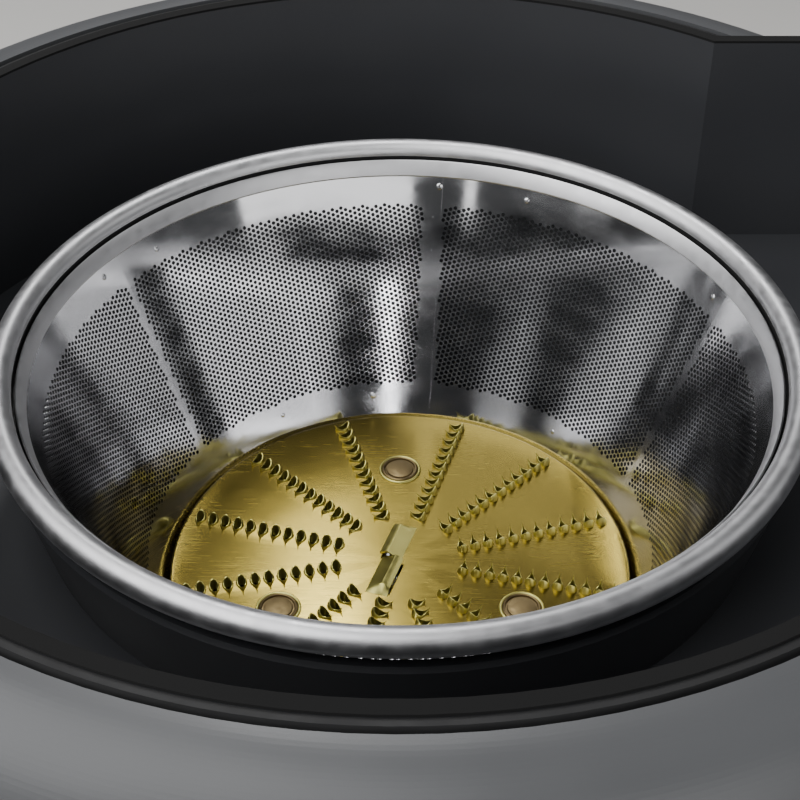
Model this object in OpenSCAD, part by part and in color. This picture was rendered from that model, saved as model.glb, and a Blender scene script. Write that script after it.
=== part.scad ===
// Centrifugal juicer with its lid off: motor housing, juice bowl, spinning basket and pulp bin.
// +Z is up and the machine stands on z = 0. The pulp bin is on +X, the juice spout on -X,
// and the speed knob faces -Y.

/* [Basket] */
// Outer radius of the basket's rolled rim
rim_r = 88; // [82:1:94]
// Radius of the rolled bead's own section
bead_r = 2.9; // [2.4:0.1:3.2]
// Height from the grating disc up to the middle of the bead
basket_depth = 63.2; // [54:1:70]
// Angle between the screen and the vertical
cone_angle = 22.2; // [18:0.5:25]
// Step from the middle of the bead in to the screen
rim_step = 3.8; // [3.4:0.1:4.4]
// Thickness of the basket's sheet steel
sheet_t = 0.6; // [0.5:0.1:0.9]
// Slant height of the blank band under the bead
lip_h = 4.2; // [3.4:0.2:6]

/* [Grating disc] */
// Thickness of the disc
disc_t = 1.2; // [1:0.1:1.6]
// Rows of teeth between one rivet and the next
rows_per_rivet = 4; // [3:1:4]
// Teeth in one row
teeth_per_row = 12; // [8:1:12]
// Distance from a row's outer tooth to the disc's edge
tooth_edge = 3.7; // [3.4:0.1:6]
// Height of a tooth above the disc
tooth_h = 2.2; // [1.6:0.1:2.6]
// Width of a tooth
tooth_w = 2.5; // [2:0.1:2.8]
// Radius at which the rows of teeth begin
tooth_start_r = 15.5; // [14.5:0.5:17]
// Radius of the circle that the rivets stand on
rivet_ring_r = 32.6; // [30:0.2:34]
// Radius of a rivet's head
rivet_r = 4.6; // [4:0.1:5]
// Length of a core blade
blade_l = 12.6; // [11:0.2:13.4]
// Width of a core blade
blade_w = 5.2; // [4:0.2:5.6]

/* [Bowl] */
// Inner radius of the bowl's round wall
bowl_r = 121; // [119:1:124]
// Wall of the bowl
bowl_t = 3; // [2.4:0.2:3.4]
// Height of the bowl's edge above the middle of the bead
bowl_rise = 27; // [22:1:30]
// Depth of the pulp channel's floor below the middle of the bead
channel_depth = 30; // [26:1:34]
// Half the width of the pulp passage, inside
passage_half_w = 92; // [84:1:94]
// Reach of the pulp passage from the motor's axis
passage_reach = 236; // [230:1:242]
// Bore radius of the juice pipe
pipe_r = 12; // [10:0.5:13]
// Reach of the spout from the motor's axis
spout_reach = 196; // [192:1:204]

/* [Pulp bin] */
// Wall of the bin
bin_t = 2.5; // [2:0.1:3]
// Gap between the bin and the pulp passage above it
bin_gap = 1.5; // [1:0.25:3]
// Reach of the grip beyond the bin's wall
grip_reach = 12; // [8:1:16]

/* [Housing] */
// Radius of the collar, the widest part of the body
collar_r = 146; // [144:1:150]
// Radius of the housing's lower edge
base_r = 128; // [124:1:132]
// Wall of the housing and the collar
wall = 3; // [2.6:0.2:3.4]
// Height of the motor deck's upper face
deck_z = 142; // [140:1:150]
// Thickness of the motor deck
deck_t = 6; // [5:0.5:7]
// Height of the rubber feet
foot_h = 6; // [5:0.5:8]
// Radius of a foot
foot_r = 14; // [12:1:16]

/* [Motor] */
// Radius of the motor shaft
shaft_r = 4; // [3.5:0.5:4.5]
// Radius of the armature core
armature_r = 24.5; // [22:0.5:26]
// Outer radius of the stator core
stator_r = 44; // [42:1:48]
// Height of the laminated stack
stack_h = 44; // [38:1:46]
// Radius of the cooling fan
fan_r = 36; // [32:1:37]

/* [Controls] */
// Radius of the speed knob
knob_r = 24; // [20:1:27]
// Radius of the round control panel
panel_r = 34; // [32:1:38]
// Height of the knob's axis
knob_z = 80; // [74:1:86]
// Height of the power inlet's middle
inlet_z = 40; // [34:1:50]

/* [Clamps] */
// Width of a lid clamp
clamp_w = 26; // [20:1:30]
// Angle that a clamp has swung open by
clamp_open = 165; // [150:1:168]

/* [Fits] */
// Radial clearance of a running fit
run_fit = 0.05; // [0.03:0.01:0.1]
// Gap between parts that are put together by hand
hand_gap = 0.6; // [0.4:0.1:1]

/* [Hidden] */
$fn = 96;

eps = 0.01;
// Heights, from the deck up to the edge of the bowl
bowl_foot_z = deck_z + 3;
cup_floor_z = bowl_foot_z + bowl_t;
hub_z = cup_floor_z + 1.5;
hub_h = 19.5;
floor_z = hub_z + hub_h;
floor_t = 1.2;
disc_gap = 1.4;
disc_z = floor_z + floor_t + disc_gap;
disc_top = disc_z + disc_t;
rim_z = disc_top + basket_depth;
bowl_top = rim_z + bowl_rise;
channel_z = rim_z - channel_depth;
collar_top = bowl_top - 0.4;
split_z = deck_z - deck_t - 2;

// Basket
bead_ring_r = rim_r - bead_r;
cone_slope = tan(cone_angle);
function screen_r(z) = bead_ring_r - rim_step + (z - rim_z) * cone_slope;
disc_r = screen_r(floor_z + floor_t) + sheet_t - 0.1;
tooth_pitch = (disc_r - tooth_edge - tooth_start_r) / (teeth_per_row - 1);
lip_z = rim_z - lip_h;
screen_low_z = floor_z;

// Teeth: rows stand beside each rivet, and the rows between share the space left
rivet_angles = [90, 210, 330];
row_side = 17;
row_step = (120 - 2 * row_side) / (rows_per_rivet - 1);
function row_angle(rivet, i) = rivet + row_side + i * row_step;

// Bowl and its cup
cup_lip_z = rim_z - bead_r - 3.6;
cup_lip_r = screen_r(cup_lip_z) + sheet_t + 4;
cup_foot_r = screen_r(screen_low_z) + sheet_t + 9;
flange_z = bowl_top - 17;
flange_t = 4;
bowl_out_r = bowl_r + bowl_t;
flange_r = bowl_out_r + 2.6;
pipe_t = 3;
pipe_out_r = pipe_r + pipe_t;
pipe_z = cup_floor_z + pipe_r + 2;
pipe_end_x = spout_reach - 20;
apron_half_w = pipe_out_r + 5;
tube_in_r = 18.5;
tube_t = 2.5;
guard_h = 15;
passage_floor_x = collar_r + 12;
passage_out_y = passage_half_w + bowl_t;
corner_r = 26;

// Collar section
ledge_z = flange_z;
mouth_r = flange_r + 0.6;
shoulder_r = collar_r - mouth_r - 1;
shoulder_z = collar_top - shoulder_r;
collar_foot_r = collar_r - 8;

// Bin
bin_x0 = collar_r + 3;
bin_x1 = passage_reach + 3;
bin_half_w = passage_out_y + 2;
bin_top = channel_z - bowl_t - bin_gap;
grip_h = 24;
grip_half_w = 44;

// Across the body
clamp_pivot_y = collar_r + 5;
clamp_pivot_z = shoulder_z - 28;
pin_r = 2;
axis_x = (spout_reach - bin_x1 - grip_reach) / 2;

// Motor stack heights
stack_z = 58;
coil_h = 12;
fan_z = stack_z + stack_h + coil_h + 3;
fan_h = 9;
upper_bracket_z = fan_z + fan_h + 3;
bracket_t = 3;
lower_bracket_z = 18;
commutator_z = 28;
commutator_h = 14;
commutator_r = 13;
bearing_r = 11;
bearing_h = 7;
shaft_top = hub_z + 15;

// Controls
panel_y = base_r + 8;
panel_back_y = base_r - 6;
knob_back_y = panel_y + 1;
knob_front_y = knob_back_y + 16;
switch_y = base_r - 34;
plunger_y = mouth_r + 7;
plunger_r = 2;
switch_back_y = plunger_y + 4.5;
plunger_top = bowl_top;
plunger_low = bowl_top - 44;

// Screws
screw_r = 2;
base_screw_r = base_r - 12;
deck_screw_r = shell_r(split_z) - wall - 5;
mount_r = stator_r - 4;
tie_r = stator_r - 3.5;

module on_axis() translate([axis_x, 0, 0]) children();
module tube(r_out, r_in, h) difference() {
    cylinder(r = r_out, h = h);
    translate([0, 0, -1]) cylinder(r = r_in, h = h + 2);
}
// A block given by its lowest and highest corners
module block(low, high) translate(low) cube(high - low);
// Points of an arc about a centre, for outlines
function arc(c, r, from, to, steps = 8) =
    [for (i = [0:steps]) c + r * [cos(from + (to - from) * i / steps), sin(from + (to - from) * i / steps)]];
// A rectangle with round corners, from x0 to x1 and half_w to each side
module round_plan(x0, x1, half_w, r) polygon(concat(
    arc([x1 - r, half_w - r], r, 0, 90),
    arc([x0 + r, half_w - r], r, 90, 180),
    arc([x0 + r, -half_w + r], r, 180, 270),
    arc([x1 - r, -half_w + r], r, 270, 360)
));
module along_x() rotate([0, 90, 0]) children();
module along_y() rotate([-90, 0, 0]) children();

// ---- Housing ----
// Outline of the shell, swept inwards by the wall
function shell_r(z) = base_r + (collar_foot_r - base_r) * pow((z - foot_h) / (split_z - foot_h), 2);
function shell_side(inset) = [for (i = [0:10]) let (z = foot_h + (split_z - foot_h) * i / 10) [shell_r(z) - inset, z]];
function reversed(points) = [for (i = [len(points) - 1:-1:0]) points[i]];

module housing_shell() on_axis() color("#2b2c2e") difference() {
    union() {
        rotate_extrude() polygon(concat(shell_side(0), reversed(shell_side(wall))));
        // Ledge that the deck rests on
        translate([0, 0, split_z - 4]) tube(shell_r(split_z) - wall + 1, shell_r(split_z) - wall - 10, 4);
        // Bosses for the base screws
        for (a = [0:60:300]) rotate([0, 0, a]) {
            translate([base_screw_r, 0, foot_h + 3.1]) cylinder(r = 5, h = 16);
            block([base_screw_r, -2.5, foot_h + 3.1], [base_r - 1.5, 2.5, foot_h + 19.1]);
        }
    }
    for (a = [0:60:300]) rotate([0, 0, a]) {
        translate([base_screw_r, 0, foot_h]) cylinder(r = screw_r, h = 16);
        translate([deck_screw_r, 0, split_z - 5]) cylinder(r = screw_r, h = 6);
    }
    // Hole for the control panel
    translate([0, -base_r - 20, knob_z]) along_y() cylinder(r = panel_r - 4, h = 60);
    // Hole for the power inlet
    block([-15, base_r - 20, inlet_z - 11], [15, base_r + 20, inlet_z + 11]);
    // Air slots at the back
    for (a = [-36:4:36]) if (abs(a) > 9) rotate([0, 0, 90 + a])
        block([base_r - 10, -1.4, vent_z], [base_r + 14, 1.4, vent_z + vent_h]);
}

vent_z = 73;
vent_h = 36;
// Half widths of the two notches that the bowl drops into
pipe_notch_w = apron_half_w + hand_gap;
passage_notch_w = passage_out_y + hand_gap;
// Angle at which the shoulder's inner arc meets the mouth's wall
inner_turn = acos((mouth_r + wall - collar_r + shoulder_r) / (shoulder_r - wall));
module collar_section() polygon(concat(
    [[collar_foot_r, split_z], [collar_foot_r + 5, split_z + 30], [collar_r, shoulder_z - 18]],
    arc([collar_r - shoulder_r, shoulder_z], shoulder_r, 0, 90, 30),
    [[mouth_r, collar_top], [mouth_r, ledge_z], [bowl_out_r + 0.8, ledge_z], [bowl_out_r + 0.8, ledge_z - wall]],
    [[mouth_r + wall, ledge_z - wall]],
    reversed(arc([collar_r - shoulder_r, shoulder_z], shoulder_r - wall, 0, inner_turn, 10)),
    [[collar_r - wall, shoulder_z - 18], [collar_foot_r + 5 - wall, split_z + 30], [collar_foot_r - wall, split_z]]
));
module clamp_lugs(side) for (x = [-1, 1]) translate([x * (clamp_w / 2 + 4.5), 0, 0]) difference() {
    union() {
        block([-3.5, side > 0 ? collar_r - 2 : -clamp_pivot_y, clamp_pivot_z - 6],
              [3.5, side > 0 ? clamp_pivot_y : -collar_r + 2, clamp_pivot_z + 6]);
        translate([-3.5, side * clamp_pivot_y, clamp_pivot_z]) along_x() cylinder(r = 6, h = 7);
    }
    translate([-5, side * clamp_pivot_y, clamp_pivot_z]) along_x() cylinder(r = pin_r, h = 10);
}
module housing_collar() on_axis() color("#77787a") difference() {
    union() {
        rotate_extrude() collar_section();
        for (side = [-1, 1]) clamp_lugs(side);
        // Rib that carries the interlock switch
        block([-6, switch_back_y, plunger_low - 18], [6, collar_r - 1.5, plunger_low + 4]);
    }
    // Notch for the spout and its apron
    block([-collar_r - 20, -pipe_notch_w, bowl_foot_z + 1], [0, pipe_notch_w, bowl_top]);
    // Notch for the pulp passage
    block([0, -passage_notch_w, bin_top + 1], [collar_r + 20, passage_notch_w, bowl_top]);
    // Hole for the interlock plunger
    translate([0, plunger_y, collar_top - 20]) cylinder(r = plunger_r + 0.3, h = 30);
}

module motor_deck() on_axis() color("#3a3b3d") difference() {
    translate([0, 0, split_z + 0.3]) cylinder(r = shell_r(split_z) - wall - 0.5, h = deck_z - split_z - 0.3);
    // Recess on the underside, so that the deck is a plate with a rim
    translate([0, 0, split_z - 1]) cylinder(r = shell_r(split_z) - wall - 10, h = deck_z - deck_t - split_z + 1);
    translate([0, 0, deck_z - deck_t - 1]) cylinder(r = 14, h = deck_t + 2);
    for (a = [45:90:315]) rotate([0, 0, a])
        translate([mount_r, 0, deck_z - deck_t - 1]) cylinder(r = 2.2, h = deck_t + 2);
    for (a = [0:60:300]) rotate([0, 0, a])
        translate([deck_screw_r, 0, split_z - 1]) cylinder(r = screw_r + 0.2, h = deck_z);
}

module base_plate() on_axis() color("#262729") difference() {
    union() {
        translate([0, 0, foot_h]) cylinder(r = shell_r(foot_h) - wall - 0.4, h = 3);
        // Seat for the lower motor bracket
        translate([0, 0, foot_h]) tube(30, 27, lower_bracket_z - foot_h);
    }
    for (a = [45:90:315]) rotate([0, 0, a]) translate([base_r - 28, 0, foot_h - 1]) cylinder(r = 4, h = 5);
    for (a = [0:60:300]) rotate([0, 0, a]) translate([base_screw_r, 0, foot_h - 1]) cylinder(r = screw_r + 0.1, h = 6);
    for (a = [0:15:345]) rotate([0, 0, a]) block([44, -1.3, foot_h - 1], [72, 1.3, foot_h + 4]);
}

module rubber_feet() on_axis() color("#161617") for (a = [45:90:315]) rotate([0, 0, a])
    translate([base_r - 28, 0, 0]) rotate_extrude() polygon([
        [0, 0], [foot_r - 2, 0], [foot_r, 1.5], [foot_r - 0.6, foot_h - 0.1], [3.9, foot_h - 0.1],
        [3.9, foot_h + 3.2], [0, foot_h + 3.2]
    ]);

// A screw that points up, with its head's underside at z = 0
module screw(length, r = screw_r, head_r = 3.6, head_h = 2.2) difference() {
    union() {
        translate([0, 0, -head_h]) cylinder(r = head_r, h = head_h);
        cylinder(r = r, h = length);
    }
    for (a = [0, 90]) rotate([0, 0, a]) block([-head_r * 0.6, -0.5, -head_h - 1], [head_r * 0.6, 0.5, -head_h + 1.1]);
}
module base_screws() on_axis() color("#9a9b9d") for (a = [0:60:300]) rotate([0, 0, a])
    translate([base_screw_r, 0, foot_h - 0.05]) screw(9);
module deck_screws() on_axis() color("#9a9b9d") for (a = [0:60:300]) rotate([0, 0, a])
    translate([deck_screw_r, 0, deck_z + 0.05]) mirror([0, 0, 1]) screw(11);
// Screws that hang the motor from the deck, through the rubber mounts
module mount_screws() on_axis() color("#9a9b9d") for (a = [45:90:315]) rotate([0, 0, a])
    translate([mount_r, 0, deck_z + 0.05]) mirror([0, 0, 1]) screw(deck_z - upper_bracket_z);

// ---- Motor ----
pole_w = 34;
module stator_core() on_axis() color("#8c8f92") translate([0, 0, stack_z]) difference() {
    union() {
        tube(stator_r, stator_r - 7, stack_h);
        for (side = [-1, 1]) block([-pole_w / 2, min(side * 10, side * (stator_r - 5)), 0],
                                   [pole_w / 2, max(side * 10, side * (stator_r - 5)), stack_h]);
    }
    translate([0, 0, -1]) cylinder(r = armature_r + 0.8, h = stack_h + 2);
    for (side = [-1, 1]) translate([side * tie_r, 0, -1]) cylinder(r = 2.1, h = stack_h + 2);
}
// Each coil is a frame around one pole, seen from its pole's face
module field_windings() on_axis() color("#b4602c") for (side = [-1, 1]) difference() {
    block([-pole_w / 2 - 5, min(side * 27, side * 35), stack_z - coil_h],
          [pole_w / 2 + 5, max(side * 27, side * 35), stack_z + stack_h + coil_h]);
    block([-pole_w / 2 - 0.2, -60, stack_z - 0.2], [pole_w / 2 + 0.2, 60, stack_z + stack_h + 0.2]);
    translate([0, 0, stack_z - coil_h - 1]) tube(60, stator_r - 7.3, stack_h + 2 * coil_h + 2);
}
module bracket(z) difference() {
    union() {
        translate([0, 0, z]) cylinder(r = 18, h = bracket_t);
        block([-stator_r, -7, z], [stator_r, 7, z + bracket_t]);
        rotate([0, 0, 90]) block([-stator_r, -5, z], [stator_r, 5, z + bracket_t]);
        translate([0, 0, z - 2]) cylinder(r = bearing_r + 3, h = bearing_h + 2);
    }
    translate([0, 0, z - 3]) cylinder(r = shaft_r + 2, h = 20);
    translate([0, 0, z - 1]) cylinder(r = bearing_r, h = 20);
    for (side = [-1, 1]) translate([side * tie_r, 0, z - 1]) cylinder(r = 2.1, h = 8);
}
module upper_bracket() on_axis() color("#a7aaad") difference() {
    union() {
        bracket(upper_bracket_z);
        for (a = [45:90:315]) rotate([0, 0, a])
            block([12, -4, upper_bracket_z], [stator_r, 4, upper_bracket_z + bracket_t]);
    }
    translate([0, 0, upper_bracket_z - 1]) cylinder(r = bearing_r, h = 20);
    for (a = [45:90:315]) rotate([0, 0, a])
        translate([mount_r, 0, upper_bracket_z - 1]) cylinder(r = 2.1, h = bracket_t + 2);
}
module lower_bracket() on_axis() color("#a7aaad") bracket(lower_bracket_z);
// Ball bearing: two rings and the balls between them
module bearing(z) translate([0, 0, z]) {
    tube(bearing_r, bearing_r - 2, bearing_h);
    tube(shaft_r + 2, shaft_r + run_fit, bearing_h);
    for (a = [0:45:315]) rotate([0, 0, a])
        translate([(bearing_r + shaft_r) / 2, 0, bearing_h / 2]) sphere(r = (bearing_r - shaft_r - 4) / 2 - 0.05, $fn = 24);
}
module upper_bearing() on_axis() color("#c9ccd0") bearing(upper_bracket_z - 1);
module lower_bearing() on_axis() color("#c9ccd0") bearing(lower_bracket_z - 1);
module tie_rods() on_axis() color("#9a9b9d") for (side = [-1, 1]) translate([side * tie_r, 0, 0]) {
    translate([0, 0, lower_bracket_z - 3]) cylinder(r = 2, h = upper_bracket_z + bracket_t + 3 - lower_bracket_z);
    translate([0, 0, lower_bracket_z - 3]) cylinder(r = 3.4, h = 2.9, $fn = 6);
}
// Rubber bushes between the motor and the deck
module motor_mounts() on_axis() color("#1b1b1c") for (a = [45:90:315]) rotate([0, 0, a])
    translate([mount_r, 0, upper_bracket_z + bracket_t + 0.02]) {
        tube(4, 2.1, deck_z - deck_t - upper_bracket_z - bracket_t - 0.04);
    }
module brush_holders() on_axis() color("#6e5a2c") for (side = [0, 180]) rotate([0, 0, side]) difference() {
    block([commutator_r + 2.5, -5, commutator_z + 2], [stator_r - 8, 5, commutator_z + 12]);
    block([commutator_r, -3.2, commutator_z + 3.8], [stator_r - 10, 3.2, commutator_z + 10.2]);
    block([stator_r - 14, -20, commutator_z + 6], [stator_r - 12, 20, commutator_z + 8]);
}
module carbon_brushes() on_axis() color("#222222") for (side = [0, 180]) rotate([0, 0, side])
    block([commutator_r + 0.15, -3, commutator_z + 4], [commutator_r + 11, 3, commutator_z + 10]);
module brush_springs() on_axis() color("#b9bcc0") for (side = [0, 180]) rotate([0, 0, side])
    for (i = [0:4]) translate([commutator_r + 11.3 + i * 1.15, 0, commutator_z + 7]) along_x() tube(2.4, 1.8, 0.6);
module shaft_seal() on_axis() color("#141414") translate([0, 0, deck_z - deck_t + 0.1]) rotate_extrude() polygon([
    [shaft_r + 0.15, 2], [shaft_r + 1.2, 2], [shaft_r + 3, 0], [13.95, 0], [13.95, deck_t + 0.6], [15.5, deck_t + 0.6],
    [15.5, deck_t + 1.4], [10, deck_t + 1.4], [10, 3.4], [shaft_r + 0.15, 3.4]
]);

module motor_shaft() on_axis() color("#c9ccd0") translate([0, 0, lower_bracket_z - 4])
    cylinder(r = shaft_r, h = shaft_top - lower_bracket_z + 4);
slot_count = 12;
module armature_core() on_axis() color("#7d8083") translate([0, 0, stack_z]) difference() {
    cylinder(r = armature_r, h = stack_h);
    translate([0, 0, -1]) cylinder(r = shaft_r, h = stack_h + 2);
    for (i = [0:slot_count - 1]) rotate([0, 0, i * 360 / slot_count])
        block([14, -2, -1], [armature_r + 1, 2, stack_h + 1]);
}
module armature_windings() on_axis() color("#b4602c") {
    for (i = [0:slot_count - 1]) rotate([0, 0, i * 360 / slot_count])
        block([14.2, -1.8, stack_z - 3], [armature_r - 1.5, 1.8, stack_z + stack_h + 3]);
    for (z = [stack_z - 8, stack_z + stack_h + 1]) translate([0, 0, z]) rotate_extrude() polygon([
        [shaft_r + 1, 0], [armature_r - 5, 0], [armature_r - 1.5, 3], [armature_r - 1.5, 5], [armature_r - 4, 7],
        [shaft_r + 1, 7]
    ]);
}
module commutator() on_axis() color("#c87f45") translate([0, 0, commutator_z]) difference() {
    cylinder(r = commutator_r, h = commutator_h);
    translate([0, 0, -1]) cylinder(r = shaft_r, h = commutator_h + 2);
    for (i = [0:23]) rotate([0, 0, i * 15 + 7.5])
        block([commutator_r - 1.4, -0.25, -1], [commutator_r + 1, 0.25, commutator_h + 1]);
}
module cooling_fan() on_axis() color("#4a4b4e") translate([0, 0, fan_z]) {
    difference() {
        union() {
            cylinder(r = fan_r, h = 1.6);
            cylinder(r = 9, h = fan_h);
        }
        translate([0, 0, -1]) cylinder(r = shaft_r, h = fan_h + 2);
    }
    for (a = [0:30:330]) rotate([0, 0, a]) translate([14, 0, 1.5]) rotate([0, 0, 24])
        block([0, -0.8, 0], [fan_r - 17, 0.8, fan_h - 2]);
}
// Six-lobed coupling, and the same plan with a gap for its socket
lobe_r = 3;
module lobe_plan(gap) {
    circle(r = 9 + gap);
    for (a = [0:60:300]) rotate(a) translate([9, 0]) circle(r = lobe_r + gap, $fn = 24);
}
module drive_coupling() on_axis() color("#1d1e20") difference() {
    union() {
        translate([0, 0, bowl_foot_z + 0.6]) cylinder(r = 15, h = 3);
        translate([0, 0, bowl_foot_z + 3]) linear_extrude(shaft_top - bowl_foot_z - 3) lobe_plan(0);
    }
    translate([0, 0, bowl_foot_z - 1]) cylinder(r = shaft_r, h = 40);
}

// ---- Controls ----
module shell_solid(gap) rotate_extrude() polygon(concat([[0, foot_h]], shell_side(-gap), [[0, split_z]]));
module control_panel() on_axis() color("#8f9193") difference() {
    union() {
        // Face, whose rim follows the housing's side
        difference() {
            translate([0, -panel_y, knob_z]) along_y() cylinder(r = panel_r, h = 20);
            shell_solid(0.1);
        }
        translate([0, -panel_y + 0.5, knob_z]) along_y() cylinder(r = panel_r - 4.4, h = panel_y - panel_back_y);
    }
    // Hollow behind the face
    translate([0, -panel_y + 3, knob_z]) along_y() cylinder(r = panel_r - 7, h = 40);
    translate([0, -panel_y - 1, knob_z]) along_y() cylinder(r = 5, h = 10);
}
module rotary_switch() on_axis() color("#1f2a33") difference() {
    union() {
        block([-17, -switch_y, knob_z - 17], [17, -switch_y + 18, knob_z + 17]);
        translate([0, -panel_y + 3.1, knob_z]) along_y() cylinder(r = 4.8, h = panel_y - 3.1 - switch_y + 0.5);
        for (x = [-10, 0, 10]) block([x - 2.4, -switch_y + 17, knob_z - 8], [x + 2.4, -switch_y + 26, knob_z - 7]);
    }
    translate([0, -panel_y, knob_z]) along_y() cylinder(r = 3 + run_fit, h = panel_y - switch_y + 8);
}
module switch_shaft() on_axis() color("#b9bcc0") translate([0, -knob_front_y + 4, knob_z]) along_y()
    cylinder(r = 3, h = knob_front_y - 4 - switch_y + 7);
module speed_knob() on_axis() color("#2a2b2d") difference() {
    union() {
        translate([0, -knob_front_y, knob_z]) along_y() cylinder(r1 = knob_r - 2, r2 = knob_r, h = 13);
        translate([0, -knob_front_y + 13, knob_z]) along_y() cylinder(r = knob_r + 2, h = 3);
        // Finger bar
        block([-4, -knob_front_y - 3, knob_z - knob_r + 4], [4, -knob_front_y + 1, knob_z + knob_r - 4]);
    }
    translate([0, -knob_front_y + 4, knob_z]) along_y() cylinder(r = 3, h = 20);
    for (a = [0:15:345]) translate([0, -knob_front_y - 1, knob_z]) rotate([0, a, 0])
        translate([knob_r + 0.4, 0, 0]) along_y() cylinder(r = 1.4, h = 13, $fn = 16);
}
board_y = 74;
module control_board() on_axis() color("#2f6b3c") {
    block([-40, board_y, 20], [40, board_y + 1.6, 66]);
    for (x = [-26, -6, 20]) block([x - 6, board_y - 11, 30], [x + 6, board_y + 0.05, 44]);
    for (x = [-30, 30]) translate([x, board_y - 14, 54]) along_y() cylinder(r = 5, h = 14.05);
}
module board_posts() on_axis() color("#262729") for (x = [-36, 36]) for (dy = [-4, 1.65])
    block([x - 3, board_y + dy, foot_h + 3], [x + 3, board_y + dy + 3.9, 30]);
module filter_capacitor() on_axis() color("#c8a23a") {
    block([64, -14, foot_h + 3.05], [80, 14, foot_h + 31]);
    for (y = [-7, 7]) translate([72, y, foot_h + 30.9]) cylinder(r = 0.8, h = 6);
}
inlet_out_y = shell_r(inlet_z) + 1.5;
module power_inlet() on_axis() color("#19191a") difference() {
    union() {
        block([-14.6, base_r - 16, inlet_z - 10.6], [14.6, inlet_out_y, inlet_z + 10.6]);
        block([-19, inlet_out_y - 0.2, inlet_z - 14], [19, inlet_out_y + 2, inlet_z + 14]);
    }
    block([-12, base_r - 12, inlet_z - 8], [12, inlet_out_y + 4, inlet_z + 8]);
    pin_shapes(run_fit);
}
module pin_shapes(gap) for (p = [[-7, 2], [0, -2], [7, 2]])
    block(
        [p[0] - 1 - gap, base_r - 24, inlet_z + p[1] - 2 - gap],
        [p[0] + 1 + gap, inlet_out_y - 2, inlet_z + p[1] + 2 + gap]
    );
module inlet_pins() on_axis() color("#c9ccd0") pin_shapes(0);

// ---- Interlock ----
module interlock_plunger() on_axis() color("#d8d9da") translate([0, plunger_y, 0]) {
    translate([0, 0, plunger_low]) cylinder(r = plunger_r, h = plunger_top - plunger_low - 1);
    translate([0, 0, plunger_top - 1]) cylinder(r1 = plunger_r, r2 = plunger_r - 0.8, h = 1);
    translate([0, 0, plunger_low + 18]) cylinder(r = 4, h = 2);
}
module interlock_spring() on_axis() color("#b9bcc0") translate([0, plunger_y, 0])
    for (i = [0:5]) translate([0, 0, plunger_low + 6.5 + i * 1.9]) tube(3.6, 2.6, 0.8);
module interlock_switch() on_axis() color("#23272b") {
    difference() {
        block([-9, plunger_y - 4, plunger_low - 20], [9, switch_back_y, plunger_low - 4]);
        block([-5, plunger_y - 6, plunger_low - 17], [5, plunger_y + 2, plunger_low - 15]);
    }
    block([-1.5, plunger_y - 1.5, plunger_low - 4.05], [1.5, plunger_y + 1.5, plunger_low - 3.3]);
    // Bridge that guides the plunger and carries its spring
    difference() {
        union() {
            block([-9, plunger_y - 4, plunger_low + 3], [9, switch_back_y, plunger_low + 6]);
            for (x = [-9, 7]) block([x, plunger_y - 4, plunger_low - 4.05], [x + 2, switch_back_y, plunger_low + 6]);
        }
        translate([0, plunger_y, plunger_low - 1]) cylinder(r = plunger_r + run_fit, h = 9);
    }
}

// ---- Lid clamps ----
module clamp_pins() on_axis() color("#c9ccd0") for (side = [-1, 1])
    translate([-clamp_w / 2 - 8, side * clamp_pivot_y, clamp_pivot_z]) along_x()
        cylinder(r = pin_r, h = clamp_w + 16);
// A clamp in its closed place, for the back side, with its pivot at the origin
hook_z = collar_top + 6 - clamp_pivot_z;
module closed_clamp() difference() {
    union() {
        along_x() translate([0, 0, -clamp_w / 2]) cylinder(r = 5, h = clamp_w);
        block([-clamp_w / 2, 1, 0], [clamp_w / 2, 5, hook_z + 4]);
        block([-clamp_w / 2, mouth_r + 1 - clamp_pivot_y, hook_z], [clamp_w / 2, 5, hook_z + 4]);
        block([-clamp_w / 2, mouth_r + 1 - clamp_pivot_y, hook_z - 2], [clamp_w / 2, mouth_r + 4 - clamp_pivot_y, hook_z + 1]);
        block([-clamp_w / 2, 4, 20], [clamp_w / 2, 10, 24]);
    }
    translate([-clamp_w, 0, 0]) along_x() cylinder(r = pin_r + run_fit, h = 2 * clamp_w);
    // Window in the lever
    block([-clamp_w / 2 + 6, -1, 27], [clamp_w / 2 - 6, 8, 43]);
}
module open_clamp() translate([0, clamp_pivot_y, clamp_pivot_z]) rotate([-clamp_open, 0, 0]) closed_clamp();
module clamp_back() on_axis() color("#5c5d60") open_clamp();
module clamp_front() on_axis() color("#5c5d60") rotate([0, 0, 180]) open_clamp();

// ---- Basket ----
// Rolled bead with the band that laps the inside of the screen, as one outline
module basket_rim() on_axis() color("#d3d5d8") rotate_extrude() polygon(concat(
    arc([bead_ring_r, rim_z], bead_r, -150, 170, 36),
    [[screen_r(rim_z - 1.4), rim_z - 1.4], [screen_r(lip_z), lip_z], [screen_r(lip_z) + sheet_t * 0.8, lip_z]],
    [[screen_r(rim_z - 2.2) + sheet_t * 0.8, rim_z - 2.2]]
));
screen_top_z = lip_z + 1.6;
module basket_screen() on_axis() color("#bfc2c6") rotate_extrude() polygon([
    [screen_r(screen_low_z) + sheet_t, screen_low_z], [screen_r(screen_low_z) + 2 * sheet_t, screen_low_z],
    [screen_r(screen_top_z) + 2 * sheet_t, screen_top_z], [screen_r(screen_top_z) + sheet_t, screen_top_z]
]);
module basket_floor() on_axis() color("#a9acb0") difference() {
    translate([0, 0, floor_z]) cylinder(r = screen_r(floor_z) + sheet_t, h = floor_t);
    for (a = rivet_angles) rotate([0, 0, a]) translate([rivet_ring_r, 0, floor_z - 1]) cylinder(r = 2, h = 4);
}
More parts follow.
